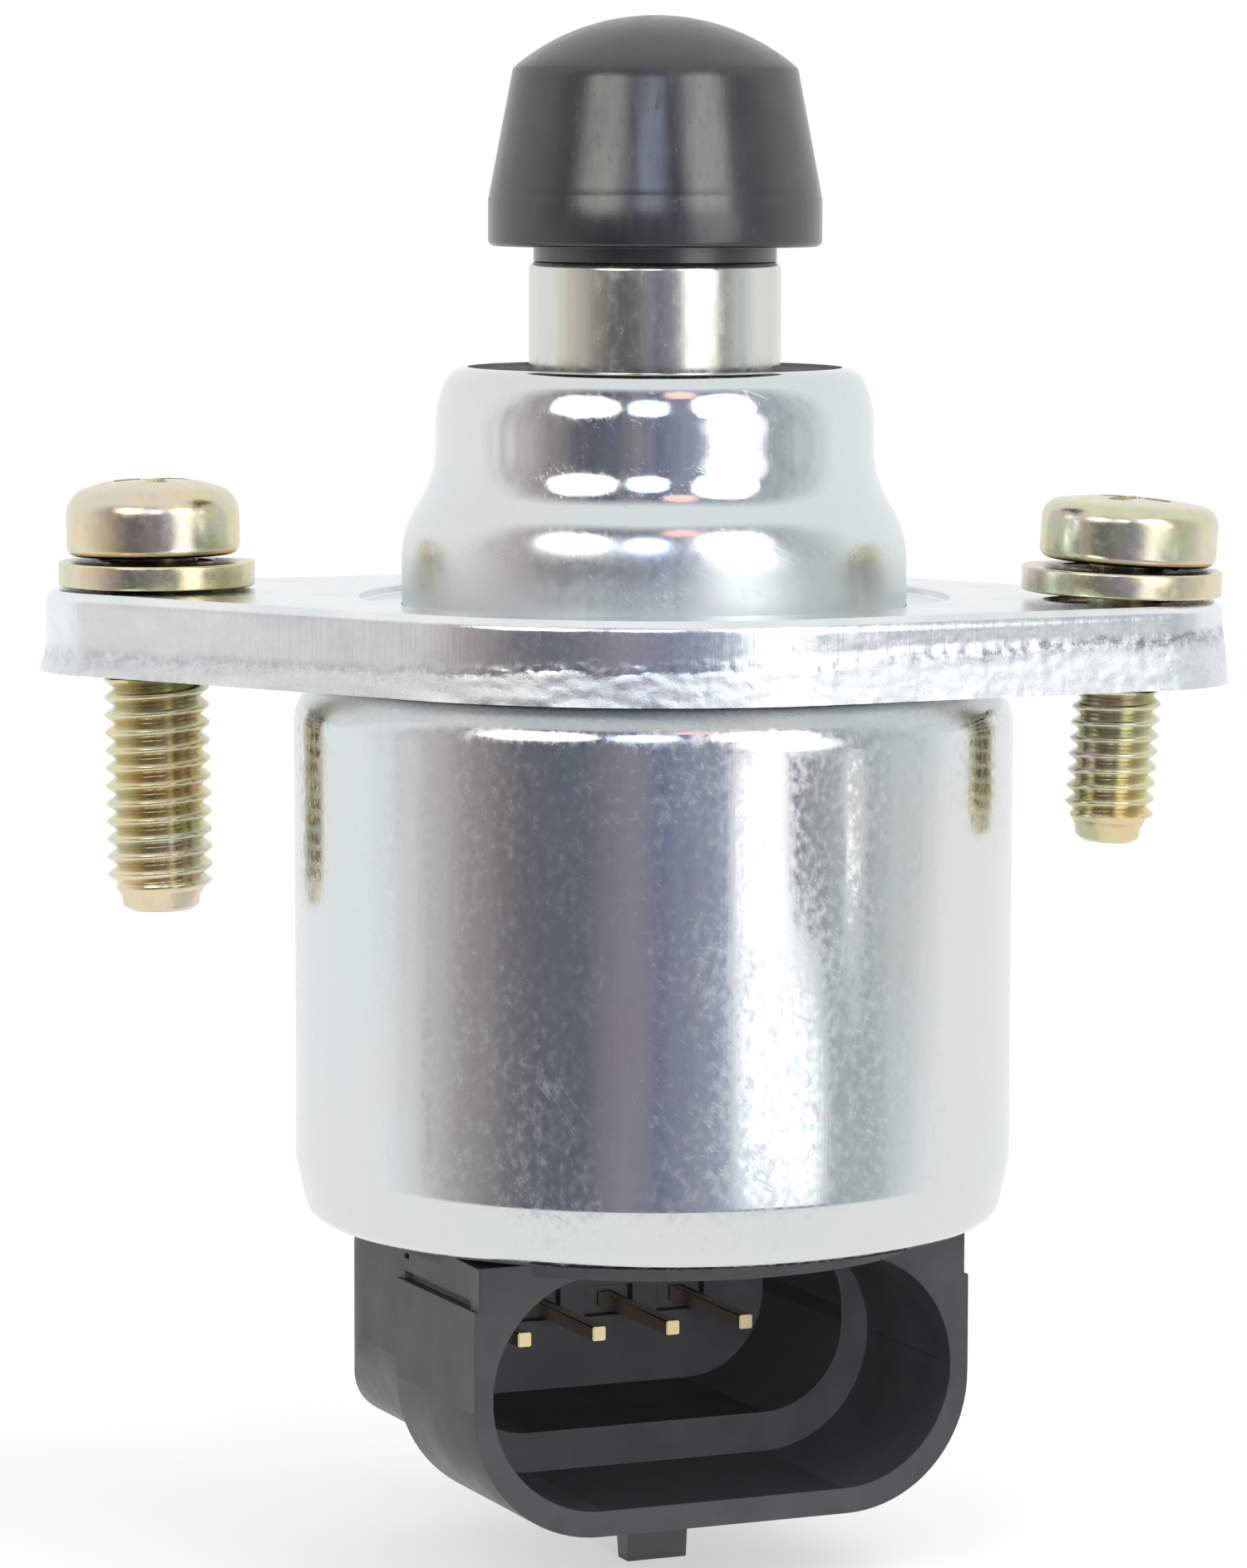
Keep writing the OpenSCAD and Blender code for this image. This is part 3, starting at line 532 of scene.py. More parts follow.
def preload_spring():
    """A wound wire, coiled from the foot to the top of the CAD spring."""
    low, high = extent("preload_spring")
    coil_r = high.x - WIRE_R
    foot, top = low.z + WIRE_R, high.z - WIRE_R
    steps = SPRING_TURNS * 40
    sides = 12
    bm = bmesh.new()
    rings = []
    for i in range(steps + 1):
        turn = 2 * math.pi * SPRING_TURNS * i / steps
        z = foot + (top - foot) * i / steps
        ring = []
        for k in range(sides):
            a = 2 * math.pi * k / sides
            r = coil_r + WIRE_R * math.cos(a)
            ring.append(bm.verts.new((r * MM * math.cos(turn), r * MM * math.sin(turn),
                                      (z + WIRE_R * math.sin(a)) * MM)))
        rings.append(ring)
    for here, there in zip(rings, rings[1:]):
        for k in range(sides):
            j = (k + 1) % sides
            bm.faces.new((here[k], there[k], there[j], here[j]))
    bm.faces.new(rings[0])
    bm.faces.new(list(reversed(rings[-1])))
    made = from_bmesh("preload_spring_wound", bm)
    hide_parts("preload_spring")
    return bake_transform(made)


def terminal(n):
    """A square pin that turns up into the housing, with a slightly rounded tip."""
    low, high = extent(f"terminal_{n}")
    side = high.x - low.x
    outline = [(low.y, low.z), (high.y, low.z), (high.y, high.z), (high.y - side, high.z),
               (high.y - side, low.z + side), (low.y, low.z + side)]
    bm = bmesh.new()
    left = [bm.verts.new((low.x * MM, y * MM, z * MM)) for y, z in outline]
    right = [bm.verts.new((high.x * MM, y * MM, z * MM)) for y, z in outline]
    bm.faces.new(left)
    bm.faces.new(list(reversed(right)))
    for i in range(len(outline)):
        j = (i + 1) % len(outline)
        bm.faces.new((left[i], right[i], right[j], left[j]))
    bmesh.ops.bevel(bm, geom=list(bm.edges), offset=0.045 * MM, segments=2, affect="EDGES")
    made = from_bmesh(f"terminal_{n}_square", bm)
    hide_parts(f"terminal_{n}")
    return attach(made, "root")


def lock_washer(name, node, arm, tilt, lift, spin, out):
    """A split spring washer: a square section bent to a ring, with its two ends apart and one a little higher."""
    gap = 0.3 / WASHER_R
    steps = 120
    middle_r = (WASHER_R + WASHER_BORE_R) / 2
    half_w = (WASHER_R - WASHER_BORE_R) / 2
    section = rounded([(-half_w, -0.5 * WASHER_T, 0.1), (half_w, -0.46 * WASHER_T, 0.12),
                       (half_w, 0.46 * WASHER_T, 0.12), (-half_w, 0.5 * WASHER_T, 0.1)], 4)
    bm = bmesh.new()
    rings = []
    for k in range(steps + 1):
        share = k / steps
        angle = gap + (2 * math.pi - 2 * gap) * share
        rise = WASHER_Z + WASHER_T / 2 + 0.12 * (share - 0.5) ** 3 * 8 / 2 + 0.06
        rings.append([bm.verts.new(((middle_r + u) * MM * math.cos(angle), (middle_r + u) * MM * math.sin(angle),
                                    (rise + w) * MM)) for u, w in section])
    count = len(section)
    for k in range(steps):
        for i in range(count):
            j = (i + 1) % count
            bm.faces.new((rings[k][i], rings[k][j], rings[k + 1][j], rings[k + 1][i]))
    bm.faces.new(rings[0])
    bm.faces.new(list(reversed(rings[-1])))
    made = from_bmesh(name, bm)
    at_arm(made, arm, tilt, lift, spin, out)
    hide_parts(node)
    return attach(made, "root")


# Materials

def add(tree, kind, options=None, **sockets):
    made = tree.nodes.new(kind)
    for key, value in (options or {}).items():
        setattr(made, key, value)
    for key, value in sockets.items():
        plug(tree, made.inputs[key.replace("_", " ")], value)
    return made


def plug(tree, socket, value):
    if isinstance(value, bpy.types.NodeSocket):
        tree.links.new(value, socket)
    else:
        socket.default_value = value


def math_node(tree, operation, a, b=0.0):
    made = add(tree, "ShaderNodeMath", {"operation": operation})
    plug(tree, made.inputs[0], a)
    plug(tree, made.inputs[1], b)
    return made.outputs[0]


def space(tree, stretch=(1, 1, 1), turn=(0, 0, 0)):
    """Object coordinates in millimetres, stretched and turned."""
    place = add(tree, "ShaderNodeTexCoord")
    scale = tuple(s / MM for s in stretch)
    turned_by = tuple(math.radians(t) for t in turn)
    first = add(tree, "ShaderNodeMapping", Vector=place.outputs["Object"], Rotation=turned_by)
    return add(tree, "ShaderNodeMapping", Vector=first.outputs[0], Scale=scale).outputs[0]


def grain(tree, stretch, scale=1.0, detail=4.0, rough=0.55, turn=(0, 0, 0)):
    """Noise from 0 to 1 in a stretched space, scale in cycles per millimetre."""
    return add(tree, "ShaderNodeTexNoise", Vector=space(tree, stretch, turn), Scale=scale, Detail=detail,
               Roughness=rough).outputs["Fac"]


def ramp(tree, value, stops):
    """A colour ramp whose stops are (place, colour or grey)."""
    made = add(tree, "ShaderNodeValToRGB", Fac=value)
    elements = made.color_ramp.elements
    while len(elements) < len(stops):
        elements.new(0.5)
    for element, (place, colour) in zip(elements, stops):
        element.position = place
        grey = not isinstance(colour, tuple)
        element.color = (colour,) * 3 + (1,) if grey else colour + (1,)
    return made.outputs["Color"]


def mix(tree, share, a, b, blend="MIX"):
    made = add(tree, "ShaderNodeMix", {"data_type": "RGBA", "blend_type": blend})
    plug(tree, made.inputs["Factor"], share)
    for key, value in (("A", a), ("B", b)):
        socket = next(s for s in made.inputs if s.name == key and s.type == "RGBA")
        plug(tree, socket, value + (1,) if isinstance(value, tuple) else value)
    return next(s for s in made.outputs if s.type == "RGBA")


def bump(tree, height, strength, distance, normal=None):
    made = add(tree, "ShaderNodeBump", Height=height, Strength=strength, Distance=distance * MM)
    if normal:
        plug(tree, made.inputs["Normal"], normal)
    return made.outputs["Normal"]


def material(name, metallic=0.0, **constants):
    made = bpy.data.materials.new(name)
    made.use_nodes = True
    shader = made.node_tree.nodes["Principled BSDF"]
    shader.inputs["Metallic"].default_value = metallic
    for key, value in constants.items():
        shader.inputs[key.replace("_", " ")].default_value = value
    return made, made.node_tree, shader.inputs


def scratches(tree, turn, amount, limit=0.66):
    """Thin bright lines in one direction, 0 where there is none."""
    lines = grain(tree, (9.0, 9.0, 0.07), 1.0, 1.0, 0.5, turn)
    mask = ramp(tree, grain(tree, (0.25, 0.25, 0.25), 1.0, 2.0, 0.5, turn), [(0.45, 0.0), (0.6, 1.0)])
    fine = ramp(tree, lines, [(limit, 0.0), (limit + 0.04, 1.0)])
    return math_node(tree, "MULTIPLY", math_node(tree, "MULTIPLY", fine, mask), amount)


def zinc_material(name, specks, draw_marks=0.0):
    """Bright drawn steel with bluish zinc: cloudy tint, fine dull specks, scratches and faint draw marks."""
    made, tree, sockets = material(name, 1.0)
    clouds = grain(tree, (0.07, 0.07, 0.04), 1.0, 4.0, 0.6)
    blotches = ramp(tree, grain(tree, (3.0, 3.0, 2.2), 1.0, 3.0, 0.55), [(0.3, 0.0), (0.8, 1.0)])
    patches = ramp(tree, grain(tree, (0.2, 0.2, 0.12), 1.0, 3.0, 0.6), [(0.35, 0.5), (0.6, 1.0)])
    dull = math_node(tree, "MULTIPLY", blotches, patches)
    tint = ramp(tree, clouds, [(0.36, (0.75, 0.75, 0.74)), (0.5, (0.73, 0.77, 0.785)), (0.66, (0.71, 0.765, 0.775))])
    plug(tree, sockets["Base Color"], mix(tree, math_node(tree, "MULTIPLY", dull, 0.3), tint, (0.82, 0.83, 0.84)))
    marks = math_node(tree, "ADD", scratches(tree, (0, 62, 20), 0.7), scratches(tree, (25, 28, 0), 0.5))
    height = add(tree, "ShaderNodeSeparateXYZ", Vector=space(tree)).outputs["Z"]
    drag = ramp(tree, grain(tree, (1.8, 1.8, 0.08), 1.0, 3.0, 0.6), [(0.35, 0.30), (0.7, 0.36)])
    root = ramp(tree, math_node(tree, "MULTIPLY", height, 0.1), [(0.08, draw_marks), (0.4, 0.0)])
    root = math_node(tree, "MULTIPLY", root, drag)
    worn = math_node(tree, "ADD", math_node(tree, "MULTIPLY", dull, specks), 0.05)
    worn = math_node(tree, "ADD", worn, math_node(tree, "MULTIPLY", marks, 0.2))
    plug(tree, sockets["Roughness"], math_node(tree, "ADD", worn, root))
    soft = bump(tree, grain(tree, (0.3, 0.3, 0.12), 1.0, 3.0, 0.5), 1.0, 0.012)
    streaks = bump(tree, grain(tree, (1.6, 1.6, 0.05), 1.0, 3.0, 0.6), 0.6, 0.005, soft)
    plug(tree, sockets["Normal"], bump(tree, marks, 0.4, 0.004, streaks))
    return made


def sleeve_material():
    made, tree, sockets = material("sleeve_steel", 1.0)
    streak = grain(tree, (2.6, 2.6, 0.02), 1.0, 5.0, 0.6)
    broad = grain(tree, (0.5, 0.5, 0.01), 1.0, 2.0, 0.5)
    specks = ramp(tree, grain(tree, (1.5, 1.5, 1.1), 1.0, 5.0, 0.75), [(0.42, 0.0), (0.7, 1.0)])
    plug(tree, sockets["Base Color"], ramp(tree, broad, [(0.35, (0.67, 0.66, 0.56)), (0.6, (0.70, 0.72, 0.68))]))
    dull = math_node(tree, "MULTIPLY", specks, 0.16)
    plug(tree, sockets["Roughness"], math_node(tree, "ADD", dull, ramp(tree, streak, [(0.3, 0.07), (0.75, 0.2)])))
    plug(tree, sockets["Normal"], bump(tree, streak, 0.6, 0.004))
    return made


def flange_material():
    """Sheared zinc plate: a burnished upper band with vertical drag marks, a torn, glittering lower band, and painted
    shade as a dark band along the line between them.
    """
    made, tree, sockets = material("flange_zinc", 1.0)
    patches = grain(tree, (0.3, 0.3, 0.5), 1.0, 4.0, 0.6)
    crumbs = grain(tree, (3.0, 3.0, 3.6), 1.0, 6.0, 0.75)
    drags = grain(tree, (2.4, 2.4, 0.14), 1.0, 4.0, 0.65)
    tint = ramp(tree, patches, [(0.3, (0.78, 0.81, 0.84)), (0.5, (0.86, 0.88, 0.90)), (0.7, (0.92, 0.93, 0.94))])
    axes = add(tree, "ShaderNodeSeparateXYZ", Vector=space(tree)).outputs
    wander = grain(tree, (0.2, 0.2, 0.05), 1.0, 7.0, 0.62)
    below = math_node(tree, "SUBTRACT", math_node(tree, "MULTIPLY", axes["Z"], -0.3), math_node(tree, "MULTIPLY", wander, 0.42))
    below = math_node(tree, "ADD", below, math_node(tree, "MULTIPLY", axes["X"], SEAM_RISE * 0.3))
    torn = ramp(tree, below, [(0.36, 0.05), (0.44, 1.0)])
    # Painted shade: a dark blue-grey band along the line between the burnished and the torn band, broken up by crumbs.
    seam_painted_shade = ramp(tree, below, [(0.26, 0.0), (0.35, 1.0), (0.41, 1.0), (0.56, 0.0)])
    # The painted shade is weaker on the left of the plate and stronger from about 10 mm right of the axis.
    side = ramp(tree, math_node(tree, "MULTIPLY", axes["X"], 0.02), [(0.0, 0.3), (0.2, 0.85)])
    shade = math_node(tree, "MULTIPLY", seam_painted_shade, ramp(tree, crumbs, [(0.4, 1.0), (0.6, 0.1)]))
    shade = math_node(tree, "MULTIPLY", shade, side)
    plug(tree, sockets["Base Color"], mix(tree, shade, tint, (0.36, 0.37, 0.42)))
    plug(tree, sockets["Roughness"], math_node(tree, "ADD", ramp(tree, crumbs, [(0.3, 0.1), (0.7, 0.3)]), math_node(tree, "MULTIPLY", torn, 0.1)))
    first = bump(tree, patches, 0.5, 0.04)
    second = bump(tree, math_node(tree, "MULTIPLY", crumbs, torn), 0.8, 0.05, first)
    plug(tree, sockets["Normal"], bump(tree, drags, 0.8, 0.014, second))
    return made


def yellow_zinc_material():
    """Yellow passivated zinc whose tint drifts between straw, olive and a little rose, with painted shade darkening it
    in gaps and hollows.
    """
    made, tree, sockets = material("yellow_zinc", 1.0)
    rainbow = grain(tree, (0.14, 0.14, 0.3), 1.0, 2.0, 0.5)
    tint = ramp(tree, rainbow, [(0.30, (0.80, 0.66, 0.40)), (0.43, (0.76, 0.70, 0.46)), (0.50, (0.69, 0.71, 0.50)),
                                (0.57, (0.78, 0.68, 0.58)), (0.66, (0.82, 0.71, 0.48))])
    film = grain(tree, (1.2, 1.2, 0.8), 1.0, 3.0, 0.6)
    tint = mix(tree, ramp(tree, film, [(0.5, 0.0), (0.75, 0.35)]), tint, (0.60, 0.51, 0.29))
    # Painted shade: ambient occlusion darkens the base colour in thread roots, under the heads and between parts.
    gap_painted_shade = add(tree, "ShaderNodeAmbientOcclusion", {"samples": 16}, Distance=1.4 * MM)
    shade = ramp(tree, gap_painted_shade.outputs["AO"], [(0.16, (0.03, 0.025, 0.012)), (0.4, (0.6, 0.56, 0.44)), (0.7, (1.0, 1.0, 1.0))])
    plug(tree, sockets["Base Color"], mix(tree, 1.0, tint, shade, "MULTIPLY"))
    speckle = grain(tree, (2.4, 2.4, 2.4), 1.0, 4.0, 0.6)
    plug(tree, sockets["Roughness"], ramp(tree, speckle, [(0.3, 0.16), (0.75, 0.34)]))
    plug(tree, sockets["Normal"], bump(tree, speckle, 0.3, 0.006))
    return made


def cap_material():
    """Turned black acetal: satin, with upright wipe marks and a few scuffs."""
    made, tree, sockets = material("cap_plastic", Specular_IOR_Level=0.95)
    wipes = grain(tree, (1.1, 1.1, 0.03), 1.0, 4.0, 0.65)
    rings = grain(tree, (0.1, 0.1, 6.0), 1.0, 3.0, 0.6)
    scuffs = ramp(tree, grain(tree, (3.0, 3.0, 0.9), 1.0, 5.0, 0.7), [(0.6, 0.0), (0.72, 1.0)])
    tone = grain(tree, (0.5, 0.5, 0.5))
    plug(tree, sockets["Base Color"], ramp(tree, tone, [(0.3, (0.007, 0.007, 0.008)), (0.7, (0.013, 0.013, 0.014))]))
    satin = ramp(tree, wipes, [(0.3, 0.17), (0.7, 0.3)])
    plug(tree, sockets["Roughness"], math_node(tree, "ADD", satin, math_node(tree, "MULTIPLY", scuffs, 0.12)))
    soft = bump(tree, wipes, 0.6, 0.012)
    soft = bump(tree, rings, 0.5, 0.006, soft)
    plug(tree, sockets["Normal"], bump(tree, scuffs, 0.4, 0.006, soft))
    return made


def housing_material():
    made, tree, sockets = material("housing_plastic", Specular_IOR_Level=0.35)
    fine = grain(tree, (4.5, 4.5, 4.5), 1.0, 5.0, 0.65)
    broad = grain(tree, (0.35, 0.35, 0.35), 1.0, 4.0, 0.6)
    plug(tree, sockets["Base Color"], ramp(tree, broad, [(0.3, (0.024, 0.0245, 0.026)), (0.7, (0.036, 0.0365, 0.039))]))
    plug(tree, sockets["Roughness"], ramp(tree, broad, [(0.3, 0.34), (0.7, 0.5)]))
    plug(tree, sockets["Normal"], bump(tree, fine, 0.45, 0.015))
    return made


def grained_material(name, light, dark, metallic, low, high, stretch=(1.5, 1.5, 1.5), depth=0.01):
    """A plain material with a little colour, roughness and surface variation."""
    made, tree, sockets = material(name, metallic)
    speckle = grain(tree, stretch, 1.0, 4.0, 0.6)
    plug(tree, sockets["Base Color"], ramp(tree, speckle, [(0.3, dark), (0.7, light)]))
    plug(tree, sockets["Roughness"], ramp(tree, speckle, [(0.3, low), (0.7, high)]))
    plug(tree, sockets["Normal"], bump(tree, speckle, 0.4, depth))
    return made


MATERIALS = {
    "cap_plastic": cap_material(),
    "sleeve_steel": sleeve_material(),
    "zinc_steel": zinc_material("zinc_steel", 0.38),
    "zinc_nose": zinc_material("zinc_nose", 0.12, 1.0),
    "flange_zinc": flange_material(),
    "yellow_zinc": yellow_zinc_material(),
    "housing_plastic": housing_material(),
    "pin_gold": grained_material("pin_gold", (0.88, 0.79, 0.52), (0.78, 0.66, 0.38), 1.0, 0.2, 0.3, (0.5, 0.5, 0.5), 0.003),
    "white_plastic": grained_material("white_plastic", (0.78, 0.75, 0.66), (0.70, 0.67, 0.58), 0.0, 0.4, 0.55),
    "seal_rubber": grained_material("seal_rubber", (0.03, 0.034, 0.034), (0.016, 0.018, 0.018), 0.0, 0.5, 0.75),
    "bearing_steel": grained_material("bearing_steel", (0.66, 0.67, 0.68), (0.56, 0.57, 0.58), 1.0, 0.12, 0.26),
    "magnet_ferrite": grained_material("magnet_ferrite", (0.09, 0.088, 0.09), (0.05, 0.05, 0.05), 0.0, 0.5, 0.8),
    "soft_iron": grained_material("soft_iron", (0.60, 0.60, 0.58), (0.48, 0.48, 0.46), 1.0, 0.25, 0.45),
    "copper_wire": grained_material("copper_wire", (0.78, 0.38, 0.18), (0.55, 0.22, 0.08), 1.0, 0.25, 0.4,
                                    (0.3, 0.3, 9.0), 0.05),
}


def paint(body, slot):
    body.data.materials.clear()
    body.data.materials.append(MATERIALS[slot])


def soften_edges(body, width):
    """Rounds the sharp edges of a carried-over CAD node with modifiers, so its mesh stays as it is."""
    weld = body.modifiers.new("weld", "WELD")
    weld.merge_threshold = 1e-6
    flat = body.modifiers.new("flat", "DECIMATE")
    flat.decimate_type = "DISSOLVE"
    flat.angle_limit = math.radians(1.0)
    edges = body.modifiers.new("edges", "BEVEL")
    edges.width = width * MM
    edges.segments = 3
    edges.limit_method = "ANGLE"
    edges.angle_limit = math.radians(28)
    edges.harden_normals = False


def dress_cad_nodes():
    """Every CAD node that stays gets the material of its slot."""
    slots = {part["node"]: part["material_slot"] for part in frame["record"]["subparts"]}
    for name, body in frame["nodes"].items():
        paint(body, slots[name])
    soften_edges(frame["nodes"]["connector_housing"], 0.32)


# Camera, from the photograph's own perspective
CAMERA_AZIMUTH = math.radians(-24)
CAMERA_DISTANCE = 266.0
CAMERA_HEIGHT = 19.06
FOCAL_PX = 7175.0
FRAME_PX = (1500, 1886)
HORIZON_PX = 200.0
AXIS_PX = 786.0
ROLL = math.radians(0.15)
SENSOR = 36.0


# Stage

FLOOR_HALF = 40.0
DOME_R = 0.13
DOME_Z = -0.01
# Windows and lamps of the room: place and size in degrees (across, up), and colour
WINDOW_RAGGED = 4.0
WINDOWS = [((-37, 31), (20, 10), (3.6, 3.7, 3.3)), ((-3, 31), (12, 8), (2.6, 3.0, 3.8)),
           ((37, 31), (19, 12), (3.8, 3.9, 3.8)), ((14, 43), (11, 4), (1.6, 0.95, 0.85)),
           ((41, 13), (19, 15), (1.9, 1.92, 1.9)), ((32.5, -5), (9.5, 7), (1.6, 1.62, 1.6)),
           ((38.5, -13), (15.5, 6), (1.6, 1.62, 1.6)), ((62, -5), (2.6, 5), (1.3, 1.32, 1.3))]


def floor():
    """White paper round the valve that glows more with distance: near the valve the glow is painted light that lightens
    the valve's shadow, and further out it turns plain white, so that no horizon shows.
    """
    level = CAD_BOX[0][2]
    mesh = bpy.data.meshes.new("floor")
    mesh.from_pydata([(-FLOOR_HALF, -FLOOR_HALF, level), (FLOOR_HALF, -FLOOR_HALF, level),
                      (FLOOR_HALF, FLOOR_HALF, level), (-FLOOR_HALF, FLOOR_HALF, level)], [], [(0, 1, 2, 3)])
    made = bpy.data.objects.new("floor", mesh)
    bpy.context.scene.collection.objects.link(made)
    paper = bpy.data.materials.new("paper")
    paper.use_nodes = True
    tree = paper.node_tree
    shader = tree.nodes["Principled BSDF"]
    shader.inputs["Base Color"].default_value = (0.93, 0.93, 0.935, 1)
    shader.inputs["Roughness"].default_value = 0.9
    shader.inputs["Specular IOR Level"].default_value = 0.0
    plug(tree, shader.inputs["Normal"], bump(tree, grain(tree, (1.5, 1.5, 1.5)), 0.3, 0.02))
    place = add(tree, "ShaderNodeTexCoord")
    reach = add(tree, "ShaderNodeVectorMath", {"operation": "LENGTH"})
    plug(tree, reach.inputs[0], place.outputs["Object"])
    # Painted light: the share of white glow rises with distance from the axis, lightening the shadow near the valve.
    far = ramp(tree, reach.outputs["Value"], [(0.014, 0.0), (0.034, 0.45), (0.1, 0.75), (0.3, 1.0)])
    white = add(tree, "ShaderNodeEmission", Color=(1, 1, 1, 1), Strength=1.0)
    blend = add(tree, "ShaderNodeMixShader")
    out = tree.nodes["Material Output"]
    tree.links.new(far, blend.inputs[0])
    tree.links.new(tree.nodes["Principled BSDF"].outputs[0], blend.inputs[1])
    tree.links.new(white.outputs[0], blend.inputs[2])
    tree.links.new(blend.outputs[0], out.inputs["Surface"])
    mesh.materials.append(paper)


def oval(tree, azimuth, height, place, size, soft=0.4):
    """1 inside an oval of the studio dome and 0 outside, with a soft rim. Place and size in degrees."""
    across = math_node(tree, "DIVIDE", math_node(tree, "SUBTRACT", azimuth, place[0]), size[0])
    up = math_node(tree, "DIVIDE", math_node(tree, "SUBTRACT", height, place[1]), size[1])
    reach = math_node(tree, "ADD", math_node(tree, "POWER", math_node(tree, "ABSOLUTE", across), 2.6),
                      math_node(tree, "POWER", math_node(tree, "ABSOLUTE", up), 2.6))
    return ramp(tree, math_node(tree, "MULTIPLY", reach, 0.5), [(0.5 - soft / 2, 1.0), (0.5, 0.0)])


def studio_dome():
    """The room that the bright metal mirrors: white paper all round, and in front a dim room with windows."""
    bm = bmesh.new()
    bmesh.ops.create_uvsphere(bm, u_segments=96, v_segments=48, radius=DOME_R)
    lowest = CAD_BOX[0][2] - DOME_Z + 0.3 * MM
    for v in bm.verts:
        v.co.z = max(v.co.z, lowest)
    mesh = bpy.data.meshes.new("studio_dome")
    bm.to_mesh(mesh)
    bm.free()
    made = bpy.data.objects.new("studio_dome", mesh)
    made.location = (0, 0, DOME_Z)
    bpy.context.scene.collection.objects.link(made)
    glow = bpy.data.materials.new("studio_dome")
    glow.use_nodes = True
    tree = glow.node_tree
    tree.nodes.clear()
    place = add(tree, "ShaderNodeTexCoord")
    turned_place = add(tree, "ShaderNodeMapping", Vector=place.outputs["Object"], Rotation=(0, 0, -CAMERA_AZIMUTH))
    axes = add(tree, "ShaderNodeSeparateXYZ", Vector=turned_place.outputs[0])
    radians = math_node(tree, "ARCTAN2", axes.outputs["X"], math_node(tree, "MULTIPLY", axes.outputs["Y"], -1.0))
    azimuth = math_node(tree, "DEGREES", radians)
    reach = math_node(tree, "SQRT", math_node(tree, "ADD", math_node(tree, "POWER", axes.outputs["X"], 2.0),
                                              math_node(tree, "POWER", axes.outputs["Y"], 2.0)))
    height = math_node(tree, "DEGREES", math_node(tree, "ARCTAN2", axes.outputs["Z"], reach))
    share = math_node(tree, "ADD", math_node(tree, "DIVIDE", azimuth, 360.0), 0.5)
    stops = [(-112, (0.95, 0.99, 0.99)), (-86, (0.88, 0.89, 0.88)), (-75, (0.77, 0.75, 0.73)), (-60, (0.50, 0.46, 0.45)),
             (-47, (0.31, 0.28, 0.28)), (-37, (0.17, 0.17, 0.20)), (-21, (0.16, 0.18, 0.23)), (-9, (0.36, 0.32, 0.35)),
             (2, (0.22, 0.24, 0.35)), (12, (0.35, 0.36, 0.45)), (21, (0.42, 0.48, 0.60)), (44, (0.36, 0.38, 0.42)),
             (56, (0.56, 0.60, 0.62)), (70, (0.58, 0.62, 0.62)), (84, (0.76, 0.80, 0.78)),
             (118, (0.92, 0.97, 0.95))]
    room = ramp(tree, share, [((a + 180) / 360, colour) for a, colour in stops])
    streaks = add(tree, "ShaderNodeTexNoise", Vector=add(tree, "ShaderNodeMapping", Vector=turned_place.outputs[0],
                                                        Scale=(90, 90, 9)).outputs[0], Scale=1.0, Detail=4.0)
    room = mix(tree, 1.0, room, ramp(tree, streaks.outputs["Fac"], [(0.3, 0.72), (0.7, 1.0)]), "MULTIPLY")
    inside = oval(tree, azimuth, height, (2, 9), (102, 42), 0.36)
    sheet = ramp(tree, math_node(tree, "ADD", math_node(tree, "DIVIDE", height, 180.0), 0.5),
                 [(0.3, (0.94, 0.94, 0.90)), (0.5, (0.94, 0.97, 0.96)), (0.8, (0.90, 0.93, 0.91))])
    colour = mix(tree, inside, sheet, room)
    ragged = math_node(tree, "MULTIPLY", math_node(tree, "SUBTRACT", streaks.outputs["Fac"], 0.5), WINDOW_RAGGED)
    azimuth = math_node(tree, "ADD", azimuth, ragged)
    height = math_node(tree, "ADD", height, ragged)
    for spot, size, tint in WINDOWS:
        colour = mix(tree, oval(tree, azimuth, height, spot, size, 0.7), colour, tint)
    light = add(tree, "ShaderNodeEmission", Color=colour, Strength=1.0)
    out = add(tree, "ShaderNodeOutputMaterial")
    tree.links.new(light.outputs[0], out.inputs["Surface"])
    mesh.materials.append(glow)
    made.visible_camera = False
    made.visible_diffuse = False
    made.visible_transmission = False
    made.visible_shadow = False


def lamp(name, place, target, size, power, colour=(1, 1, 1)):
    data = bpy.data.lights.new(name, "AREA")
    data.energy = power
    data.size = size
    data.color = colour
    made = bpy.data.objects.new(name, data)
    made.location = place
    made.rotation_mode = "QUATERNION"
    made.rotation_quaternion = (Vector(target) - Vector(place)).to_track_quat("-Z", "Y")
    made.visible_glossy = False
    bpy.context.scene.collection.objects.link(made)


def world():
    sky = bpy.data.worlds.new("studio")
    sky.use_nodes = True
    tree = sky.node_tree
    tree.nodes.clear()
    seen = add(tree, "ShaderNodeBackground", Color=(1, 1, 1, 1), Strength=1.0)
    soft = add(tree, "ShaderNodeBackground", Color=(0.97, 0.985, 1.0, 1), Strength=0.78)
    rays = add(tree, "ShaderNodeLightPath")
    blend = add(tree, "ShaderNodeMixShader")
    direct = math_node(tree, "MAXIMUM", rays.outputs["Is Camera Ray"], rays.outputs["Is Glossy Ray"])
    tree.links.new(direct, blend.inputs[0])
    tree.links.new(soft.outputs[0], blend.inputs[1])
    tree.links.new(seen.outputs[0], blend.inputs[2])
    out = add(tree, "ShaderNodeOutputWorld")
    tree.links.new(blend.outputs[0], out.inputs["Surface"])
    bpy.context.scene.world = sky


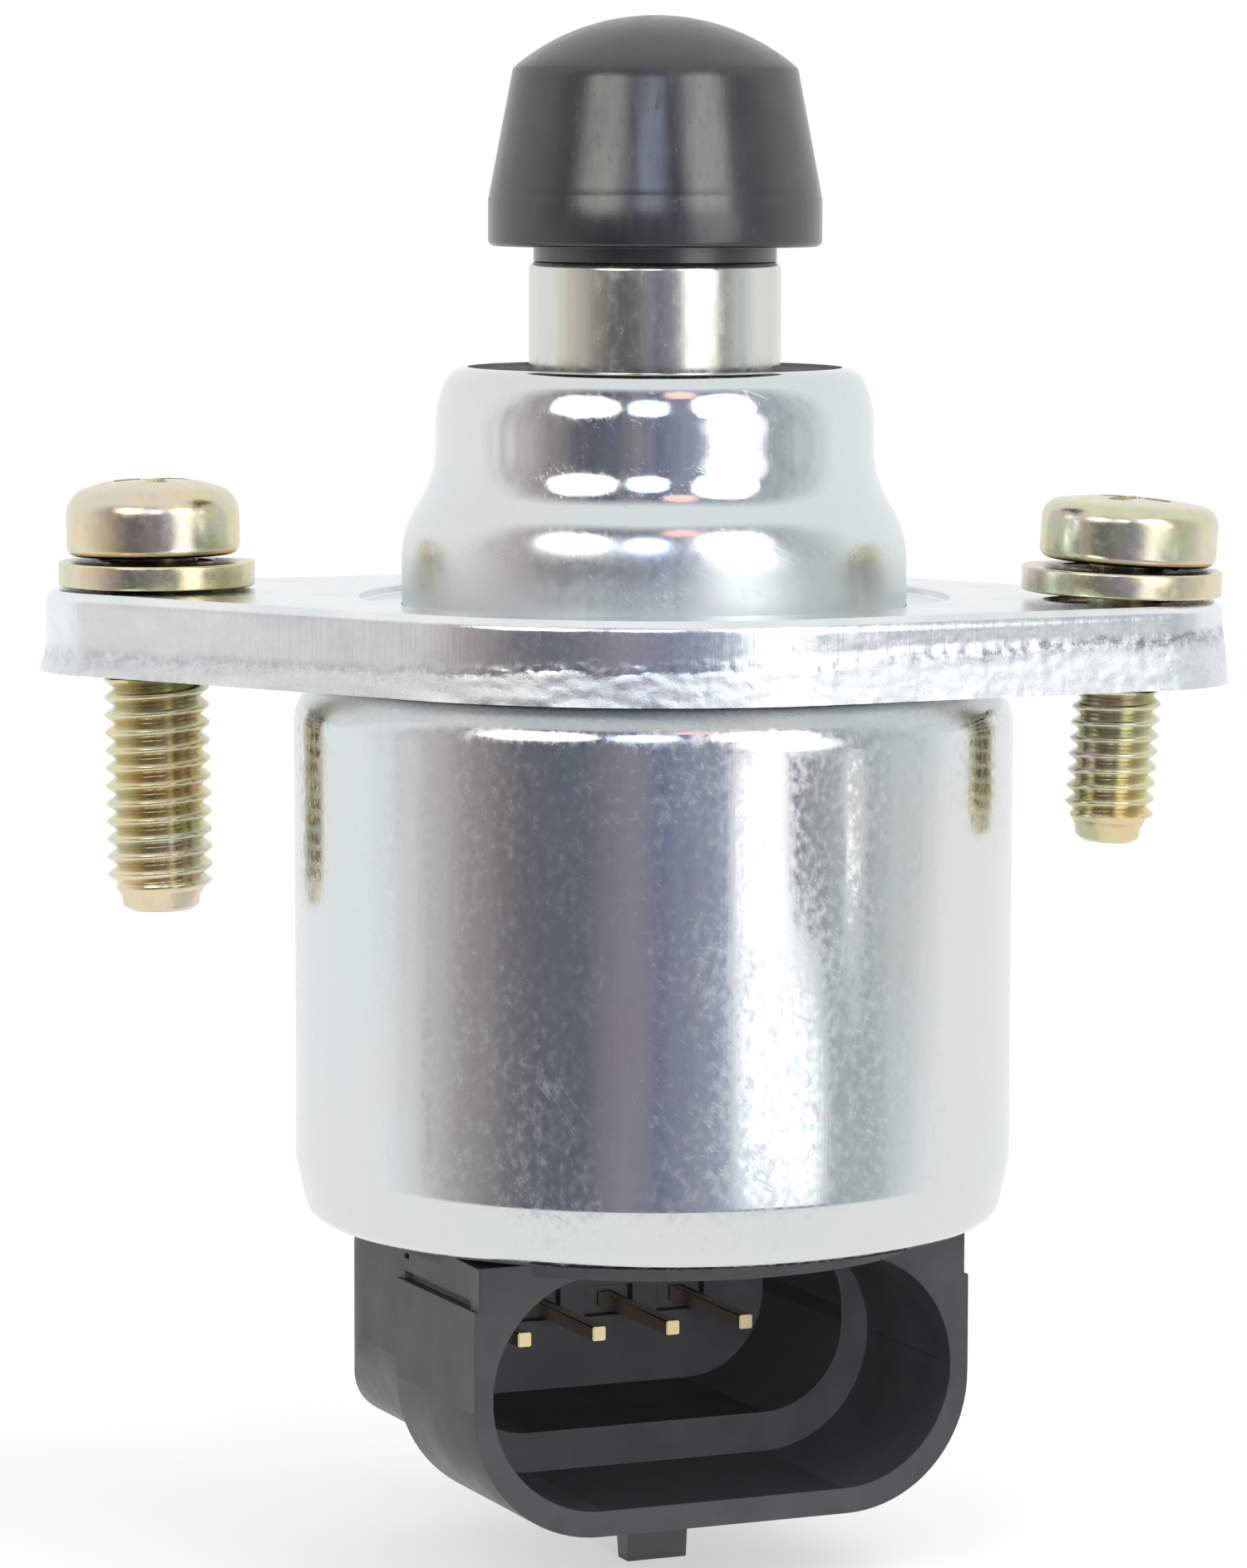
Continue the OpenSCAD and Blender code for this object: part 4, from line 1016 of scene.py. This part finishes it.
def camera():
    data = bpy.data.cameras.new("camera")
    made = bpy.data.objects.new("camera", data)
    bpy.context.scene.collection.objects.link(made)
    half_w, half_h = FRAME_PX[0] / 2, FRAME_PX[1] / 2
    pitch = math.atan((half_h - HORIZON_PX) / FOCAL_PX)
    yaw = math.atan((half_w - AXIS_PX) / FOCAL_PX)
    away = Vector((math.sin(CAMERA_AZIMUTH), -math.cos(CAMERA_AZIMUTH), 0))
    made.location = (away * CAMERA_DISTANCE + Vector((0, 0, CAMERA_HEIGHT))) * MM
    made.rotation_mode = "QUATERNION"
    look = Matrix.Rotation(-yaw, 3, "Z") @ -away
    side = look.cross(Vector((0, 0, 1))).normalized()
    look = Matrix.Rotation(-pitch, 3, side) @ look
    made.rotation_quaternion = look.to_track_quat("-Z", "Y") @ Matrix.Rotation(ROLL, 3, "Z").to_quaternion()
    data.sensor_width = SENSOR
    data.sensor_fit = "AUTO"
    data.lens = FOCAL_PX / math.cos(pitch) * SENSOR / FRAME_PX[1]
    data.clip_start, data.clip_end = 0.01, 20.0
    bpy.context.scene.camera = made


def build():
    dress_cad_nodes()
    paint(pintle_cap(), "cap_plastic")
    paint(plunger_sleeve(), "sleeve_steel")
    paint(nose_cup(), "zinc_nose")
    paint(motor_can(), "zinc_steel")
    paint(mounting_flange(), "flange_zinc")
    paint(preload_spring(), "bearing_steel")
    for n in range(1, 5):
        paint(terminal(n), "pin_gold")
    left_foot = extent("screw_left")[0].z
    right_foot = extent("screw_right")[0].z
    paint(screw("screw_left_threaded", "screw_left", ARM_LEFT, 2.36, 0.8, left_foot, 1.52, 1.3, 0.3, 20, -1.0, -0.12), "yellow_zinc")
    paint(screw("screw_right_threaded", "screw_right", ARM_RIGHT, 1.95, 0.7, right_foot, 1.68, 0.85, 0.2, 70, 3.6, 0.65), "yellow_zinc")
    paint(lock_washer("lock_washer_left_split", "lock_washer_left", ARM_LEFT, 0, 0.0, 25, 0.0), "yellow_zinc")
    paint(lock_washer("lock_washer_right_split", "lock_washer_right", ARM_RIGHT, 2.2, 0.17, 25, 0.5), "yellow_zinc")


build()
floor()
world()
camera()
studio_dome()
lamp("key", (0.3, -0.4, 0.6), (0, 0, 0), 0.6, 3.1)
lamp("fill", (-0.5, -0.35, 0.35), (0, 0, 0), 0.6, 1.6)
lamp("front", (-0.03, -0.32, -0.014), (0, -0.01, -0.034), 0.05, 1.1)
bpy.context.scene.view_settings.view_transform = "Standard"
